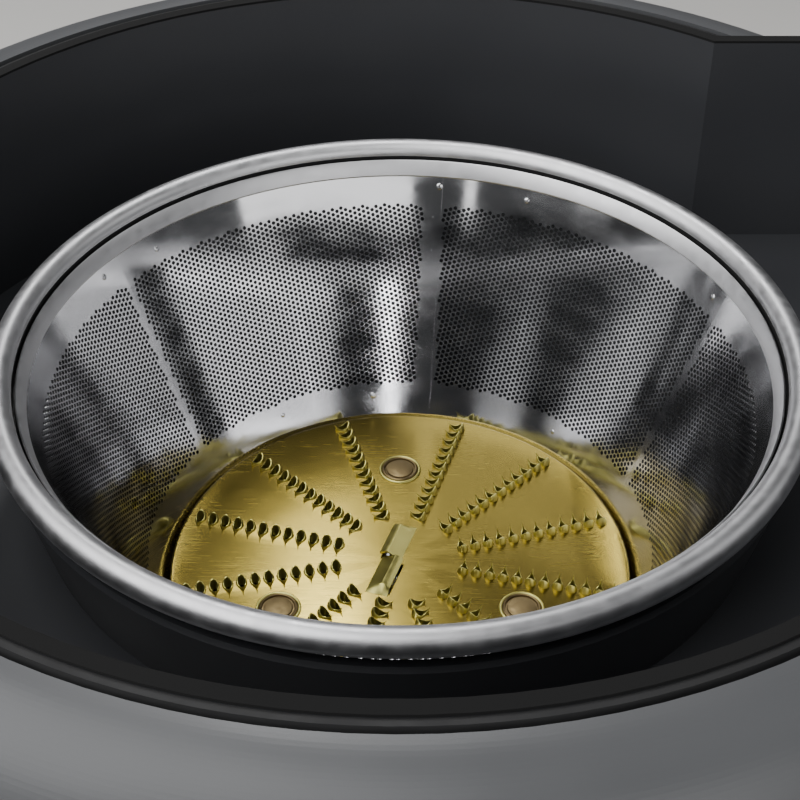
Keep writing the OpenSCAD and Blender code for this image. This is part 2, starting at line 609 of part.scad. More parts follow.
module basket_hub() on_axis() color("#1d1e20") difference() {
    union() {
        translate([0, 0, floor_z - 4]) cylinder(r = rivet_ring_r + 8, h = 4);
        translate([0, 0, hub_z]) cylinder(r = tube_in_r - 1.5, h = hub_h);
        translate([0, 0, hub_z + 4]) tube(tube_in_r + tube_t + 4.5, tube_in_r + tube_t + 2, hub_h - 4.5);
    }
    translate([0, 0, hub_z - 1]) linear_extrude(17.5) lobe_plan(0.35);
    for (a = rivet_angles) rotate([0, 0, a]) translate([rivet_ring_r, 0, floor_z - 5]) cylinder(r = 2, h = 6);
}
module grating_disc() on_axis() color("#b59a4a") difference() {
    rotate_extrude() polygon(concat(
        [[0, disc_z], [disc_r - 1.2, disc_z], [disc_r - 1.2, floor_z + floor_t + 0.02], [disc_r, floor_z + floor_t + 0.02]],
        arc([disc_r - 1.4, disc_top - 1.4], 1.4, 0, 90, 6),
        [[0, disc_top]]
    ));
    for (a = rivet_angles) rotate([0, 0, a]) translate([rivet_ring_r, 0, disc_z - 1]) cylinder(r = 2, h = 4);
}
// A tooth is a small ramp that rises against the spin to a sharp point
module tooth() translate([0, 0, disc_top]) rotate([90, 0, 90]) translate([0, 0, -tooth_w / 2])
    linear_extrude(tooth_w) polygon([[-1.6, 0.02], [1.5, tooth_h], [0.9, 0.02]]);
module grating_teeth() on_axis() color("#c2a655")
    for (rivet = rivet_angles) for (i = [0:rows_per_rivet - 1]) rotate([0, 0, row_angle(rivet, i)])
        for (k = [0:teeth_per_row - 1]) translate([tooth_start_r + k * tooth_pitch, 0, 0]) tooth();
blade_angle = 71;
module core_blades() on_axis() color("#c2a655") rotate([0, 0, blade_angle]) for (side = [-1, 1])
    translate([side * (blade_l / 2 + 0.4), side * -1.4, disc_top + 0.02]) difference() {
        block([-blade_l / 2, -blade_w / 2, 0], [blade_l / 2, blade_w / 2, 2.4]);
        translate([-blade_l, -side * 1.2, -1.2]) rotate([side * 18, 0, 0]) block([0, -blade_w, 3], [2 * blade_l, blade_w, 6]);
    }
module disc_rivets() on_axis() color("#7d6a34") for (a = rivet_angles) rotate([0, 0, a])
    translate([rivet_ring_r, 0, 0]) {
        translate([0, 0, disc_top + 0.02]) cylinder(r = rivet_r, h = 0.7);
        translate([0, 0, floor_z - 5.4]) cylinder(r = 1.95, h = disc_top - floor_z + 5.5);
        translate([0, 0, floor_z - 5.4]) cylinder(r = 3.4, h = 1.35);
        // Spacer between the floor and the disc
        translate([0, 0, floor_z + floor_t + 0.02]) cylinder(r = 4, h = disc_gap - 0.04);
    }

// ---- Bowl ----
module passage_plan(inset) round_plan(0, passage_reach - inset, passage_out_y - inset, corner_r - inset);
module bowl_walls() difference() {
    union() {
        translate([0, 0, channel_z - bowl_t]) cylinder(r = bowl_out_r, h = bowl_top - channel_z + bowl_t);
        translate([0, 0, channel_z - bowl_t]) linear_extrude(bowl_top - channel_z + bowl_t) passage_plan(0);
        // Flange that hangs the bowl in the collar
        translate([0, 0, flange_z + 0.05]) cylinder(r = flange_r, h = flange_t);
    }
    translate([0, 0, channel_z]) cylinder(r = bowl_r, h = 100);
    translate([0, 0, channel_z]) linear_extrude(100) passage_plan(bowl_t);
    // Drop opening over the bin
    translate([0, 0, channel_z - 10]) linear_extrude(50) intersection() {
        passage_plan(bowl_t);
        translate([passage_floor_x, -200]) square([200, 400]);
    }
}
module cup_outer() rotate_extrude() polygon([
    [0, bowl_foot_z], [cup_foot_r + bowl_t, bowl_foot_z], [cup_lip_r + bowl_t - 0.5, cup_lip_z - 1],
    [cup_lip_r + bowl_t - 1.2, cup_lip_z], [0, cup_lip_z]
]);
module cup_inner() rotate_extrude() polygon([
    [0, cup_floor_z], [cup_foot_r, cup_floor_z], [cup_lip_r, cup_lip_z + eps], [cup_lip_r, cup_lip_z + 5],
    [0, cup_lip_z + 5]
]);
// Closes the collar's notch above the pipe, flush with the collar
module spout_apron() intersection() {
    rotate_extrude() collar_section();
    block([-collar_r - 5, -apron_half_w, pipe_z], [-100, apron_half_w, bowl_top]);
}
module bowl_body() difference() {
    union() {
        bowl_walls();
        cup_outer();
        translate([-pipe_end_x, 0, pipe_z]) along_x() cylinder(r = pipe_out_r, h = pipe_end_x - 50);
        spout_apron();
    }
    cup_inner();
    // Bore of the juice pipe
    translate([-pipe_end_x - 1, 0, pipe_z]) along_x() cylinder(r = pipe_r, h = pipe_end_x - 40);
    // Groove for the spout's ring
    translate([-pipe_end_x + 5, 0, pipe_z]) along_x() tube(pipe_out_r + 1, pipe_out_r - 1.2, 2.6);
    // Hole for the coupling, inside the guard tube
    translate([0, 0, bowl_foot_z - 1]) cylinder(r = tube_in_r, h = 10);
}
// Tube that keeps the juice off the coupling
module guard_tube() translate([0, 0, bowl_foot_z]) tube(tube_in_r + tube_t, tube_in_r, guard_h);
module juice_bowl() on_axis() color("#313236") union() {
    bowl_body();
    guard_tube();
}
// The gasket stops short of the notches on both sides
gasket_z = flange_z + flange_t + 0.1;
gasket_h = bowl_top - 0.6 - gasket_z;
module bowl_gasket() on_axis() color("#0e0e0f") difference() {
    translate([0, 0, gasket_z]) rotate_extrude() polygon([
        [bowl_out_r + 0.1, 0], [flange_r, 0], [flange_r, gasket_h - 2], [flange_r - 1, gasket_h],
        [bowl_out_r + 0.1, gasket_h]
    ]);
    block([0, -passage_notch_w, gasket_z - 1], [collar_r, passage_notch_w, bowl_top]);
    block([-collar_r, -pipe_notch_w, gasket_z - 1], [0, pipe_notch_w, bowl_top]);
}
module spout_ring() on_axis() color("#b33a2e") translate([-pipe_end_x + 5.1, 0, pipe_z]) along_x()
    tube(pipe_out_r + 0.25, pipe_out_r - 1.15, 2.4);
nozzle_in_r = pipe_out_r + 0.3;
nozzle_out_r = nozzle_in_r + 2.6;
nozzle_x = pipe_end_x + 1;
drop_x = spout_reach - pipe_r;
module spout_nozzle() on_axis() color("#2a2b2e") translate([0, 0, pipe_z]) difference() {
    union() {
        translate([-spout_reach, 0, 0]) along_x() cylinder(r = nozzle_out_r, h = spout_reach - pipe_end_x + 16);
        translate([-drop_x, 0, -pipe_r - 24]) cylinder(r1 = pipe_r - 2, r2 = pipe_r - 1, h = pipe_r + 24);
    }
    translate([-nozzle_x, 0, 0]) along_x() cylinder(r = nozzle_in_r, h = 60);
    translate([-spout_reach + 2.5, 0, 0]) along_x() cylinder(r = pipe_r, h = 60);
    translate([-drop_x, 0, -pipe_r - 25]) cylinder(r = pipe_r - 4.4, h = pipe_r + 26);
}

// ---- Pulp bin ----
module bin_plan(inset) difference() {
    round_plan(bin_x0 - 70, bin_x1 - inset, bin_half_w - inset, corner_r - inset);
    translate([bin_x0 - 200, -200]) square([200 + inset, 400]);
}
module pulp_bin() on_axis() color("#3d3f43") difference() {
    union() {
        linear_extrude(bin_top) bin_plan(0);
        // Grip on the outside, hollow below for the fingers
        translate([0, 0, bin_top - grip_h]) linear_extrude(grip_h)
            round_plan(bin_x1 - 12, bin_x1 + grip_reach, grip_half_w, 10);
    }
    translate([0, 0, bin_top - grip_h - 1]) linear_extrude(grip_h - 3) difference() {
        round_plan(bin_x1 - 20, bin_x1 + grip_reach - 3, grip_half_w - 3, 7);
        translate([bin_x1 - 200, -100]) square([200, 200]);
    }
    translate([0, 0, bin_t]) linear_extrude(bin_top) bin_plan(bin_t);
}

housing_shell();
housing_collar();
motor_deck();
base_plate();
rubber_feet();
base_screws();
deck_screws();
mount_screws();
stator_core();
field_windings();
upper_bracket();
lower_bracket();
upper_bearing();
lower_bearing();
tie_rods();
motor_mounts();
brush_holders();
carbon_brushes();
brush_springs();
shaft_seal();
control_panel();
rotary_switch();
control_board();
board_posts();
filter_capacitor();
power_inlet();
inlet_pins();
interlock_switch();
clamp_pins();
motor_shaft();
armature_core();
armature_windings();
commutator();
cooling_fan();
drive_coupling();
basket_rim();
basket_screen();
basket_floor();
basket_hub();
grating_disc();
grating_teeth();
core_blades();
disc_rivets();
juice_bowl();
bowl_gasket();
spout_ring();
spout_nozzle();
pulp_bin();
speed_knob();
switch_shaft();
interlock_plunger();
interlock_spring();
clamp_front();
clamp_back();
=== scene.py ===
"""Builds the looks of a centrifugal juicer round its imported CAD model."""

import math

import bmesh
import bpy
from bpy.props import FloatProperty, FloatVectorProperty, IntProperty, PointerProperty
from mathutils import Matrix, Vector


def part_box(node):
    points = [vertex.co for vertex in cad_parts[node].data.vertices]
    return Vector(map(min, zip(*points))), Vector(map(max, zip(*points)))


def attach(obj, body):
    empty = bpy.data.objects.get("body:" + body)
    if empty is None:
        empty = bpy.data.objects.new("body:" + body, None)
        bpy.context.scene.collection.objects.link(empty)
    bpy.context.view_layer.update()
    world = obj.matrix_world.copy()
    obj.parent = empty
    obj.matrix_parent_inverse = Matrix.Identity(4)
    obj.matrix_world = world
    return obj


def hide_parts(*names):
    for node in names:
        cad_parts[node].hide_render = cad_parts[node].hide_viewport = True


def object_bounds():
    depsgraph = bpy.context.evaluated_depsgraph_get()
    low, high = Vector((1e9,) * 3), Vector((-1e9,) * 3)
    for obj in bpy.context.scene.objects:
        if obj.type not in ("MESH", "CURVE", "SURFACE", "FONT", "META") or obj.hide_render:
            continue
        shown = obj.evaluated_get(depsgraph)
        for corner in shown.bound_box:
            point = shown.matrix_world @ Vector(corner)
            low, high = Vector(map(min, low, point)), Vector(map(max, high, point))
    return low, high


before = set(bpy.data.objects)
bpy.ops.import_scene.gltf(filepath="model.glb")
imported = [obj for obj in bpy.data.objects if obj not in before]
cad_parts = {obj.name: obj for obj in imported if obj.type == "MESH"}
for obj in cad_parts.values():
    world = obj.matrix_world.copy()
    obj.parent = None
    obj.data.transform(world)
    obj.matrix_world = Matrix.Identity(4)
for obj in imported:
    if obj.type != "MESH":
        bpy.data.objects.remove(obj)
CAD_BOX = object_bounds()

bl_info = {
    "name": "Centrifugal Juicer",
    "version": (1, 0, 0),
    "blender": (4, 5, 0),
    "location": "View3D > Sidebar > Juicer",
    "description": "Builds the pieces, finishes and studio of a centrifugal juicer",
    "category": "Add Mesh",
}

MM = 0.001
FULL_TURN = 2 * math.pi

# The width of one band of a wave texture whose scale is 1
WAVE_BAND = 0.314


def linear(code):
    """An sRGB hex colour such as #a0b0c0 as linear red, green, blue and alpha."""
    parts = [int(code[i : i + 2], 16) / 255 for i in (1, 3, 5)]
    return [c / 12.92 if c <= 0.04045 else ((c + 0.055) / 1.055) ** 2.4 for c in parts] + [1.0]


def corners(node_name):
    """Lowest and highest corner of a CAD node."""
    low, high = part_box(node_name)
    return Vector(low), Vector(high)


def half_width(node_name):
    """Half of a CAD node's width, which is the outer radius of a round one."""
    low, high = corners(node_name)
    return (high.x - low.x) / 2


# Places that the CAD model gives, and the depth of the disc and of the painted shade along the bowl's top
# edge
RIM_LOW, RIM_HIGH = corners("basket_rim")
DISC_LOW = corners("grating_disc")[0]
SCREEN_LOW, SCREEN_HIGH = corners("basket_screen")
PANEL_LOW, PANEL_HIGH = corners("control_panel")
AXIS_X = (RIM_LOW.x + RIM_HIGH.x) / 2
DISC_R = half_width("grating_disc")
DISC_DEEP = 2.6 * MM
DISC_TOP = DISC_LOW.z + DISC_DEEP
KNOB_FACE = corners("speed_knob")[0].y
KNOB_Z = (PANEL_LOW.z + PANEL_HIGH.z) / 2
# Painted shade: the bowl's top 0.6 mm is painted black, standing in for the dark gap between the bowl and the
# collar
PAINTED_EDGE_SHADE = 0.6 * MM

# The rim's bead: the radius of its roll, and the ring that the roll's middle follows
BEAD_R = 2.9 * MM
BEAD_RING = half_width("basket_rim") - BEAD_R
BEAD_Z = RIM_HIGH.z - BEAD_R

# The screen's cone: its inner face runs from the floor's edge up to inside the rim
SHEET = 0.6 * MM
CONE_FOOT_R = half_width("basket_floor")
CONE_TOP_R = half_width("basket_screen") - SHEET
CONE_ANGLE = math.atan2(CONE_TOP_R - CONE_FOOT_R, SCREEN_HIGH.z - SCREEN_LOW.z)
APEX_Z = SCREEN_LOW.z - CONE_FOOT_R / math.tan(CONE_ANGLE)

# The seam and the blank strips between the screen's panels, as azimuths in degrees
SEAM_AT = 83.6
PANEL_ENDS = [SEAM_AT + turn for turn in (0, 64, 122, 180, 238, 296, 360)]

# The rivets: their azimuths in degrees, the radius of a head and of the ring that they stand on
RIVET_ANGLES = [90, 210, 330]
RIVET_HEAD_R = 4.6 * MM
RIVET_RING = corners("disc_rivets")[1].y - RIVET_HEAD_R


def cone_radius(z):
    """Radius of the screen's inner face at a height."""
    return (z - APEX_Z) * math.tan(CONE_ANGLE)


# ---- Sizes and colours that a user may change ----


class JuicerScreenSizes(bpy.types.PropertyGroup):
    """Sizes of the perforated screen."""

    hole_pitch: FloatProperty(
        name="Hole pitch", description="From one hole to the next", default=1.3 * MM, unit="LENGTH"
    )
    hole_width: FloatProperty(
        name="Hole width", description="Width across one hole", default=0.8 * MM, unit="LENGTH"
    )
    sheet_gauge: FloatProperty(
        name="Sheet gauge", description="Thickness of the screen's sheet", default=0.3 * MM, unit="LENGTH"
    )
    top_blank: FloatProperty(
        name="Blank band at the top",
        description="From the middle of the rim's bead down to the first holes",
        default=11.5 * MM,
        unit="LENGTH",
    )
    foot_blank: FloatProperty(
        name="Blank band at the foot",
        description="From the disc up to the last holes",
        default=7.6 * MM,
        unit="LENGTH",
    )
    strip_width: FloatProperty(
        name="Strip width", description="Blank strip between two panels", default=1.3 * MM, unit="LENGTH"
    )
    seam_width: FloatProperty(
        name="Seam width", description="Blank strip at the welded seam", default=4.6 * MM, unit="LENGTH"
    )


class JuicerDiscSizes(bpy.types.PropertyGroup):
    """Sizes of the grating disc's teeth and core blades."""

    rows_per_rivet: IntProperty(
        name="Rows", description="Rows of teeth from one rivet to the next", default=4, min=1, max=4
    )
    teeth_per_row: IntProperty(name="Teeth", description="Teeth in one row", default=12, min=2, max=12)
    row_side: FloatProperty(
        name="First row",
        description="Angle from a rivet to the row beside it",
        default=math.radians(17),
        subtype="ANGLE",
    )
    tooth_pitch: FloatProperty(
        name="Tooth pitch", description="From one tooth to the next", default=3.25 * MM, unit="LENGTH"
    )
    tooth_start: FloatProperty(
        name="First tooth", description="Radius of a row's inner tooth", default=15.5 * MM, unit="LENGTH"
    )
    tooth_length: FloatProperty(
        name="Tooth length", description="Length of a tooth along the spin", default=4.3 * MM, unit="LENGTH"
    )
    tooth_width: FloatProperty(
        name="Tooth width", description="Width of a tooth along its row", default=2.8 * MM, unit="LENGTH"
    )
    tooth_height: FloatProperty(
        name="Tooth height", description="Height of a tooth's burr", default=2.1 * MM, unit="LENGTH"
    )
    blade_length: FloatProperty(
        name="Blade length", description="Length of one core blade", default=12.0 * MM, unit="LENGTH"
    )
    blade_width: FloatProperty(
        name="Blade width", description="Width of one core blade", default=5.4 * MM, unit="LENGTH"
    )
    blade_shift: FloatProperty(
        name="Blade shift",
        description="The blades' middle from the axis along X",
        default=-2.0 * MM,
        unit="LENGTH",
    )
    blade_angle: FloatProperty(
        name="Blade angle",
        description="Direction of the core blades",
        default=math.radians(71),
        subtype="ANGLE",
    )


def colour(label, code):
    """A property for the colour of one kind of piece, with its default as sRGB hex."""
    return FloatVectorProperty(
        name=label,
        description=f"Colour of the {label.lower()}",
        subtype="COLOR",
        size=4,
        min=0,
        max=1,
        default=linear(code),
    )


class JuicerColours(bpy.types.PropertyGroup):
    """Colours of the pieces that show most."""

    bowl: colour("Bowl", "#343538")
    collar: colour("Collar", "#515254")
    housing: colour("Housing", "#303134")
    bin: colour("Pulp bin", "#33353a")
    steel: colour("Steel", "#d6d6d8")
    nitride: colour("Gold coating", "#9a8840")
    rivet: colour("Rivets", "#7a6a4a")


class JuicerStage(bpy.types.PropertyGroup):
    """The camera and the studio."""

    lens: FloatProperty(name="Lens", description="Focal length", default=71.2, unit="CAMERA")
    camera_back: FloatProperty(
        name="Camera back", description="Camera in front of the axis", default=272.9 * MM, unit="LENGTH"
    )
    camera_up: FloatProperty(
        name="Camera up", description="Camera above the bead", default=203.6 * MM, unit="LENGTH"
    )
    camera_tilt: FloatProperty(
        name="Camera tilt",
        description="How far below the bead's middle the camera looks",
        default=math.radians(1.88),
        subtype="ANGLE",
    )


# ---- Helpers ----


def add(tree, kind, links=None, **settings):
    """Adds a shader node with its settings; links gives each input a value or another node's output."""
    made = tree.nodes.new(kind)
    for key, value in settings.items():
        setattr(made, key, value)
    for key, value in (links or {}).items():
        if isinstance(value, bpy.types.NodeSocket):
            tree.links.new(value, made.inputs[key])
        else:
            made.inputs[key].default_value = value
    return made


def new_material(name, **sockets):
    """A material with one shader, whose sockets are given by name with underscores for spaces."""
    material = bpy.data.materials.new(name)
    material.use_nodes = True
    tree = material.node_tree
    tree.nodes.clear()
    values = {key.replace("_", " "): value for key, value in sockets.items()}
    shader = add(tree, "ShaderNodeBsdfPrincipled", values)
    add(tree, "ShaderNodeOutputMaterial", {"Surface": shader.outputs[0]})
    return material, tree, shader


def spread(tree, shader, socket, source, low, high):
    """Drives a shader's socket by a pattern, from low where it is dark to high where it is light."""
    ranged = add(tree, "ShaderNodeMapRange", {0: source, 1: 0.3, 2: 0.7, 3: low, 4: high})
    tree.links.new(ranged.outputs[0], shader.inputs[socket])


def tint(tree, shader, source, base, darker, lighter):
    """Varies the base colour between two shades of itself by a pattern."""
    shades = [[c * k for c in base[:3]] + [1.0] for k in (darker, lighter)]
    mixed = add(tree, "ShaderNodeMix", {0: source, 6: shades[0], 7: shades[1]}, data_type="RGBA")
    tree.links.new(mixed.outputs[2], shader.inputs["Base Color"])


def bumped(tree, shader, source, depth, strength=1.0):
    """Adds relief of a depth in metres from a pattern."""
    bump = add(tree, "ShaderNodeBump", {"Height": source, "Strength": strength, "Distance": depth})
    tree.links.new(bump.outputs[0], shader.inputs["Normal"])


def pattern(tree, scale, detail=2.0, stretch=(1, 1, 1), turn=(0, 0, 0), source=None):
    """Noise on object coordinates, with scale the size of its blobs in metres."""
    where = source or add(tree, "ShaderNodeTexCoord").outputs["Object"]
    placed = add(tree, "ShaderNodeMapping", {"Vector": where, "Rotation": turn, "Scale": stretch})
    settings = {"Vector": placed.outputs[0], "Scale": 1 / scale, "Detail": detail}
    return add(tree, "ShaderNodeTexNoise", settings).outputs["Fac"]


def round_axis(tree):
    """Coordinates round the motor's axis: radius, arc length at 80 mm, height."""
    where = add(tree, "ShaderNodeTexCoord").outputs["Object"]
    shifted = add(tree, "ShaderNodeVectorMath", {0: where, 1: (AXIS_X, 0, 0)}, operation="SUBTRACT")
    apart = add(tree, "ShaderNodeSeparateXYZ", {0: shifted.outputs[0]})
    flat = add(tree, "ShaderNodeVectorMath", {0: shifted.outputs[0], 1: (1, 1, 0)}, operation="MULTIPLY")
    radius = add(tree, "ShaderNodeVectorMath", {0: flat.outputs[0]}, operation="LENGTH")
    angle = add(tree, "ShaderNodeMath", {0: apart.outputs[1], 1: apart.outputs[0]}, operation="ARCTAN2")
    arc_length = add(tree, "ShaderNodeMath", {0: angle.outputs[0], 1: 80 * MM}, operation="MULTIPLY")
    parts = {0: radius.outputs["Value"], 1: arc_length.outputs[0], 2: apart.outputs[2]}
    return add(tree, "ShaderNodeCombineXYZ", parts).outputs[0]


# ---- Finishes ----


def moulded(name, base, roughness, grain=0.45 * MM, depth=0.012 * MM):
    """Injection-moulded plastic: a fine spark-eroded grain, with gloss that drifts from flow and handling."""
    material, tree, shader = new_material(name, Base_Color=base, IOR=1.5)
    fine = pattern(tree, grain, 3.0)
    broad = pattern(tree, 45 * MM, 2.0)
    tint(tree, shader, broad, base, 0.9, 1.1)
    spread(tree, shader, "Roughness", broad, roughness - 0.05, roughness + 0.06)
    bumped(tree, shader, fine, depth)
    return material


def bowl_plastic(colours):
    """The bowl's satin ABS, with its top edge painted black and matt: painted shade of the gap between the
    bowl and the collar.
    """
    material = moulded("satin_abs_bowl", colours.bowl, 0.42, 0.5 * MM, 0.008 * MM)
    tree = material.node_tree
    shader = tree.nodes["Principled BSDF"]
    where = add(tree, "ShaderNodeTexCoord").outputs["Object"]
    height = add(tree, "ShaderNodeSeparateXYZ", {0: where}).outputs[2]
    # Painted shade: above this height the plastic turns black and fully matt
    start = CAD_BOX[1][2] - PAINTED_EDGE_SHADE
    edge = add(tree, "ShaderNodeMath", {0: height, 1: start}, operation="GREATER_THAN").outputs[0]
    body = shader.inputs["Base Color"].links[0].from_socket
    mixed = add(tree, "ShaderNodeMix", {0: edge, 6: body, 7: linear("#050505")}, data_type="RGBA")
    tree.links.new(mixed.outputs[2], shader.inputs["Base Color"])
    gloss = shader.inputs["Roughness"].links[0].from_socket
    dulled = add(tree, "ShaderNodeMath", {0: gloss, 1: edge}, operation="MAXIMUM")
    tree.links.new(dulled.outputs[0], shader.inputs["Roughness"])
    return material


def rubbery(name, base, roughness=0.62):
    """Moulded rubber: matt, with a faint bloom and soft pitting."""
    material, tree, shader = new_material(name, Base_Color=base, IOR=1.52)
    bloom = pattern(tree, 9 * MM, 4.0)
    tint(tree, shader, bloom, base, 0.8, 1.35)
    spread(tree, shader, "Roughness", bloom, roughness - 0.08, roughness + 0.12)
    bumped(tree, shader, pattern(tree, 0.7 * MM), 0.02 * MM)
    return material


def worked_metal(name, base, roughness, scale=1.2 * MM, stretch=(1, 1, 1), depth=0.004 * MM, source=None):
    """Rolled, ground or turned metal: streaks along its working direction, and dull patches from handling."""
    material, tree, shader = new_material(name, Base_Color=base, Metallic=1.0)
    streaks = pattern(tree, scale, 3.0, stretch, source=source(tree) if source else None)
    smudges = pattern(tree, 18 * MM, 4.0)
    tint(tree, shader, smudges, base, 0.88, 1.04)
    both = add(tree, "ShaderNodeMix", {0: 0.5, 2: streaks, 3: smudges}, data_type="FLOAT")
    spread(tree, shader, "Roughness", both.outputs[0], roughness * 0.75, roughness * 1.3)
    bumped(tree, shader, streaks, depth)
    return material


def bright_sheet(colours):
    """Bright-rolled stainless sheet: near mirror, with faint rolling streaks and a light film of smears."""
    material, tree, shader = new_material("bright_rolled_steel", Base_Color=colours.steel, Metallic=1.0)
    smears = pattern(tree, 14 * MM, 5.0, (1, 1, 2.4))
    tint(tree, shader, smears, colours.steel, 0.88, 1.0)
    spread(tree, shader, "Roughness", smears, 0.06, 0.17)
    bumped(tree, shader, pattern(tree, 26 * MM, 1.0), 0.05 * MM)
    return material


def satin_rim(colours):
    """Tumbled stainless bead: satin with a cloudy bloom, as after deburring in a drum."""
    material, tree, shader = new_material("tumbled_steel_rim", Base_Color=colours.steel, Metallic=1.0)
    cloud = pattern(tree, 3.2 * MM, 5.0)
    tint(tree, shader, cloud, colours.steel, 0.84, 1.0)
    spread(tree, shader, "Roughness", cloud, 0.36, 0.5)
    bumped(tree, shader, pattern(tree, 0.5 * MM, 3.0), 0.006 * MM)
    return material


def fold_shadow():
    """The rim's rolled fold, painted black: painted shade of the narrow slit where the bead curls in to meet
    the band.
    """
    material, tree, shader = new_material("painted_fold_shade", Base_Color=linear("#060606"), Metallic=0.0)
    spread(tree, shader, "Roughness", pattern(tree, 2 * MM), 0.6, 0.9)
    return material


def gold_nitride(colours):
    """Titanium-nitride coat on stainless brushed along X: deep gold, its gleams smeared along Y."""
    base = colours.nitride
    material, tree, shader = new_material(
        "brushed_nitride_coat", Base_Color=base, Metallic=1.0, Anisotropic=0.7
    )
    across = add(tree, "ShaderNodeCombineXYZ", {1: 1.0}).outputs[0]
    tree.links.new(across, shader.inputs["Tangent"])
    lines = pattern(tree, 0.4 * MM, 2.0, (0.05, 1, 1))
    cloud = pattern(tree, 16 * MM, 4.0)
    tint(tree, shader, cloud, base, 0.82, 1.05)
    both = add(tree, "ShaderNodeMix", {0: 0.45, 2: lines, 3: cloud}, data_type="FLOAT")
    spread(tree, shader, "Roughness", both.outputs[0], 0.2, 0.3)
    bumped(tree, shader, lines, 0.003 * MM)
    return material


def painted_highlight_nitride(colours):
    """The same coat on the punched teeth, paler and creamier as a painted highlight of the gleam that the
    teeth catch from above.
    """
    # Painted highlight: a lighter, creamier copy of the disc's coat colour
    base = [0.35 + 0.65 * c for c in colours.nitride[:2]] + [0.12 + 0.75 * colours.nitride[2], 1.0]
    material, tree, shader = new_material("nitride_coat_painted_highlight", Base_Color=base, Metallic=1.0)
    grain = pattern(tree, 2.5 * MM, 3.0)
    tint(tree, shader, grain, base, 0.88, 1.0)
    spread(tree, shader, "Roughness", grain, 0.28, 0.42)
    return material


def rivet_metal(colours):
    """Pressed rivet heads under the coat: brown, satin and dented by the riveting tool."""
    base = colours.rivet
    material, tree, shader = new_material("pressed_rivet", Base_Color=base, Metallic=1.0)
    dents = pattern(tree, 1.4 * MM, 4.0)
    tint(tree, shader, dents, base, 0.75, 1.15)
    spread(tree, shader, "Roughness", dents, 0.32, 0.55)
    bumped(tree, shader, dents, 0.06 * MM)
    return material


def laminations():
    """A stack of varnished electrical sheet, drawn as 1 mm layers so that they show."""
    base = linear("#6a6e72")
    material, tree, shader = new_material("varnished_lamination_stack", Base_Color=base, Metallic=1.0)
    where = add(tree, "ShaderNodeTexCoord").outputs["Object"]
    layers = add(
        tree, "ShaderNodeTexWave", {"Vector": where, "Scale": WAVE_BAND / (1 * MM)}, bands_direction="Z"
    ).outputs["Fac"]
    tint(tree, shader, layers, base, 0.55, 1.05)
    spread(tree, shader, "Roughness", pattern(tree, 6 * MM), 0.4, 0.6)
    bumped(tree, shader, layers, 0.05 * MM)
    return material


def wound_copper():
    """Enamelled copper wire of 0.8 mm, wound in close turns and dipped in varnish."""
    base = linear("#9c4a1e")
    material, tree, shader = new_material("enamelled_copper_winding", Base_Color=base, Metallic=0.85)
    where = add(tree, "ShaderNodeTexCoord").outputs["Object"]
    turns = add(
        tree,
        "ShaderNodeTexWave",
        {"Vector": where, "Scale": WAVE_BAND / (0.8 * MM), "Distortion": 0.6},
        bands_direction="DIAGONAL",
    ).outputs["Fac"]
    tint(tree, shader, turns, base, 0.4, 1.2)
    spread(tree, shader, "Roughness", pattern(tree, 5 * MM), 0.25, 0.42)
    bumped(tree, shader, turns, 0.15 * MM)
    return material


def circuit_laminate():
    """Green solder resist over copper tracks: glossy, with lighter lines where the copper lies."""
    base = linear("#1f5a30")
    material, tree, shader = new_material("coated_circuit_laminate", Base_Color=base, Coat_Weight=0.5)
    where = add(tree, "ShaderNodeTexCoord").outputs["Object"]
    tracks = add(
        tree, "ShaderNodeTexBrick", {"Vector": where, "Scale": 1 / (18 * MM), "Mortar Size": 0.05}
    ).outputs["Fac"]
    tint(tree, shader, tracks, base, 0.9, 1.7)
    spread(tree, shader, "Roughness", pattern(tree, 4 * MM), 0.2, 0.35)
    return material


def studio_floor():
    """Pale painted board: matt, with the faintest roller texture."""
    base = linear("#dcdad6")
    material, tree, shader = new_material("painted_board", Base_Color=base)
    tint(tree, shader, pattern(tree, 400 * MM), base, 0.97, 1.03)
    spread(tree, shader, "Roughness", pattern(tree, 90 * MM), 0.6, 0.75)
    return material


# ---- Mesh tools ----


def arc(centre, radius, start, end, steps):
    """Points of an arc, with its angles in degrees."""
    turns = [math.radians(start + (end - start) * i / steps) for i in range(steps + 1)]
    return [(centre[0] + radius * math.cos(t), centre[1] + radius * math.sin(t)) for t in turns]


def revolve(bm, outline, centre=(AXIS_X, 0), steps=160):
    """Spins a closed outline of (radius, height) points a full turn about an upright axis."""
    verts = [bm.verts.new((centre[0] + r, centre[1], z)) for r, z in outline]
    edges = [bm.edges.new(pair) for pair in zip(verts, verts[1:] + verts[:1])]
    middle = (centre[0], centre[1], 0)
    bmesh.ops.spin(
        bm, geom=verts + edges, cent=middle, axis=(0, 0, 1), angle=FULL_TURN, steps=steps, use_merge=True
    )
    bmesh.ops.remove_doubles(bm, verts=bm.verts[:], dist=0.002 * MM)
    bmesh.ops.recalc_face_normals(bm, faces=bm.faces[:])


def rounded_bar(bm, middle, size, radius, matrix=Matrix()):
    """A bar with rounded edges, added to a mesh."""
    place = matrix @ Matrix.Translation(middle) @ Matrix.Diagonal((*size, 1))
    made = bmesh.ops.create_cube(bm, size=1.0, matrix=place)
    bmesh.ops.bevel(
        bm,
        geom=list(dict.fromkeys(e for v in made["verts"] for e in v.link_edges)),
        offset=radius,
        segments=3,
        profile=0.5,
        affect="EDGES",
        material=-1,
        clamp_overlap=True,
    )


def new_object(name, bm):
    """An object in the scene that takes over a finished bmesh."""
    mesh = bpy.data.meshes.new(name)
    bm.to_mesh(mesh)
    bm.free()
    made = bpy.data.objects.new(name, mesh)
    bpy.context.scene.collection.objects.link(made)
    return made


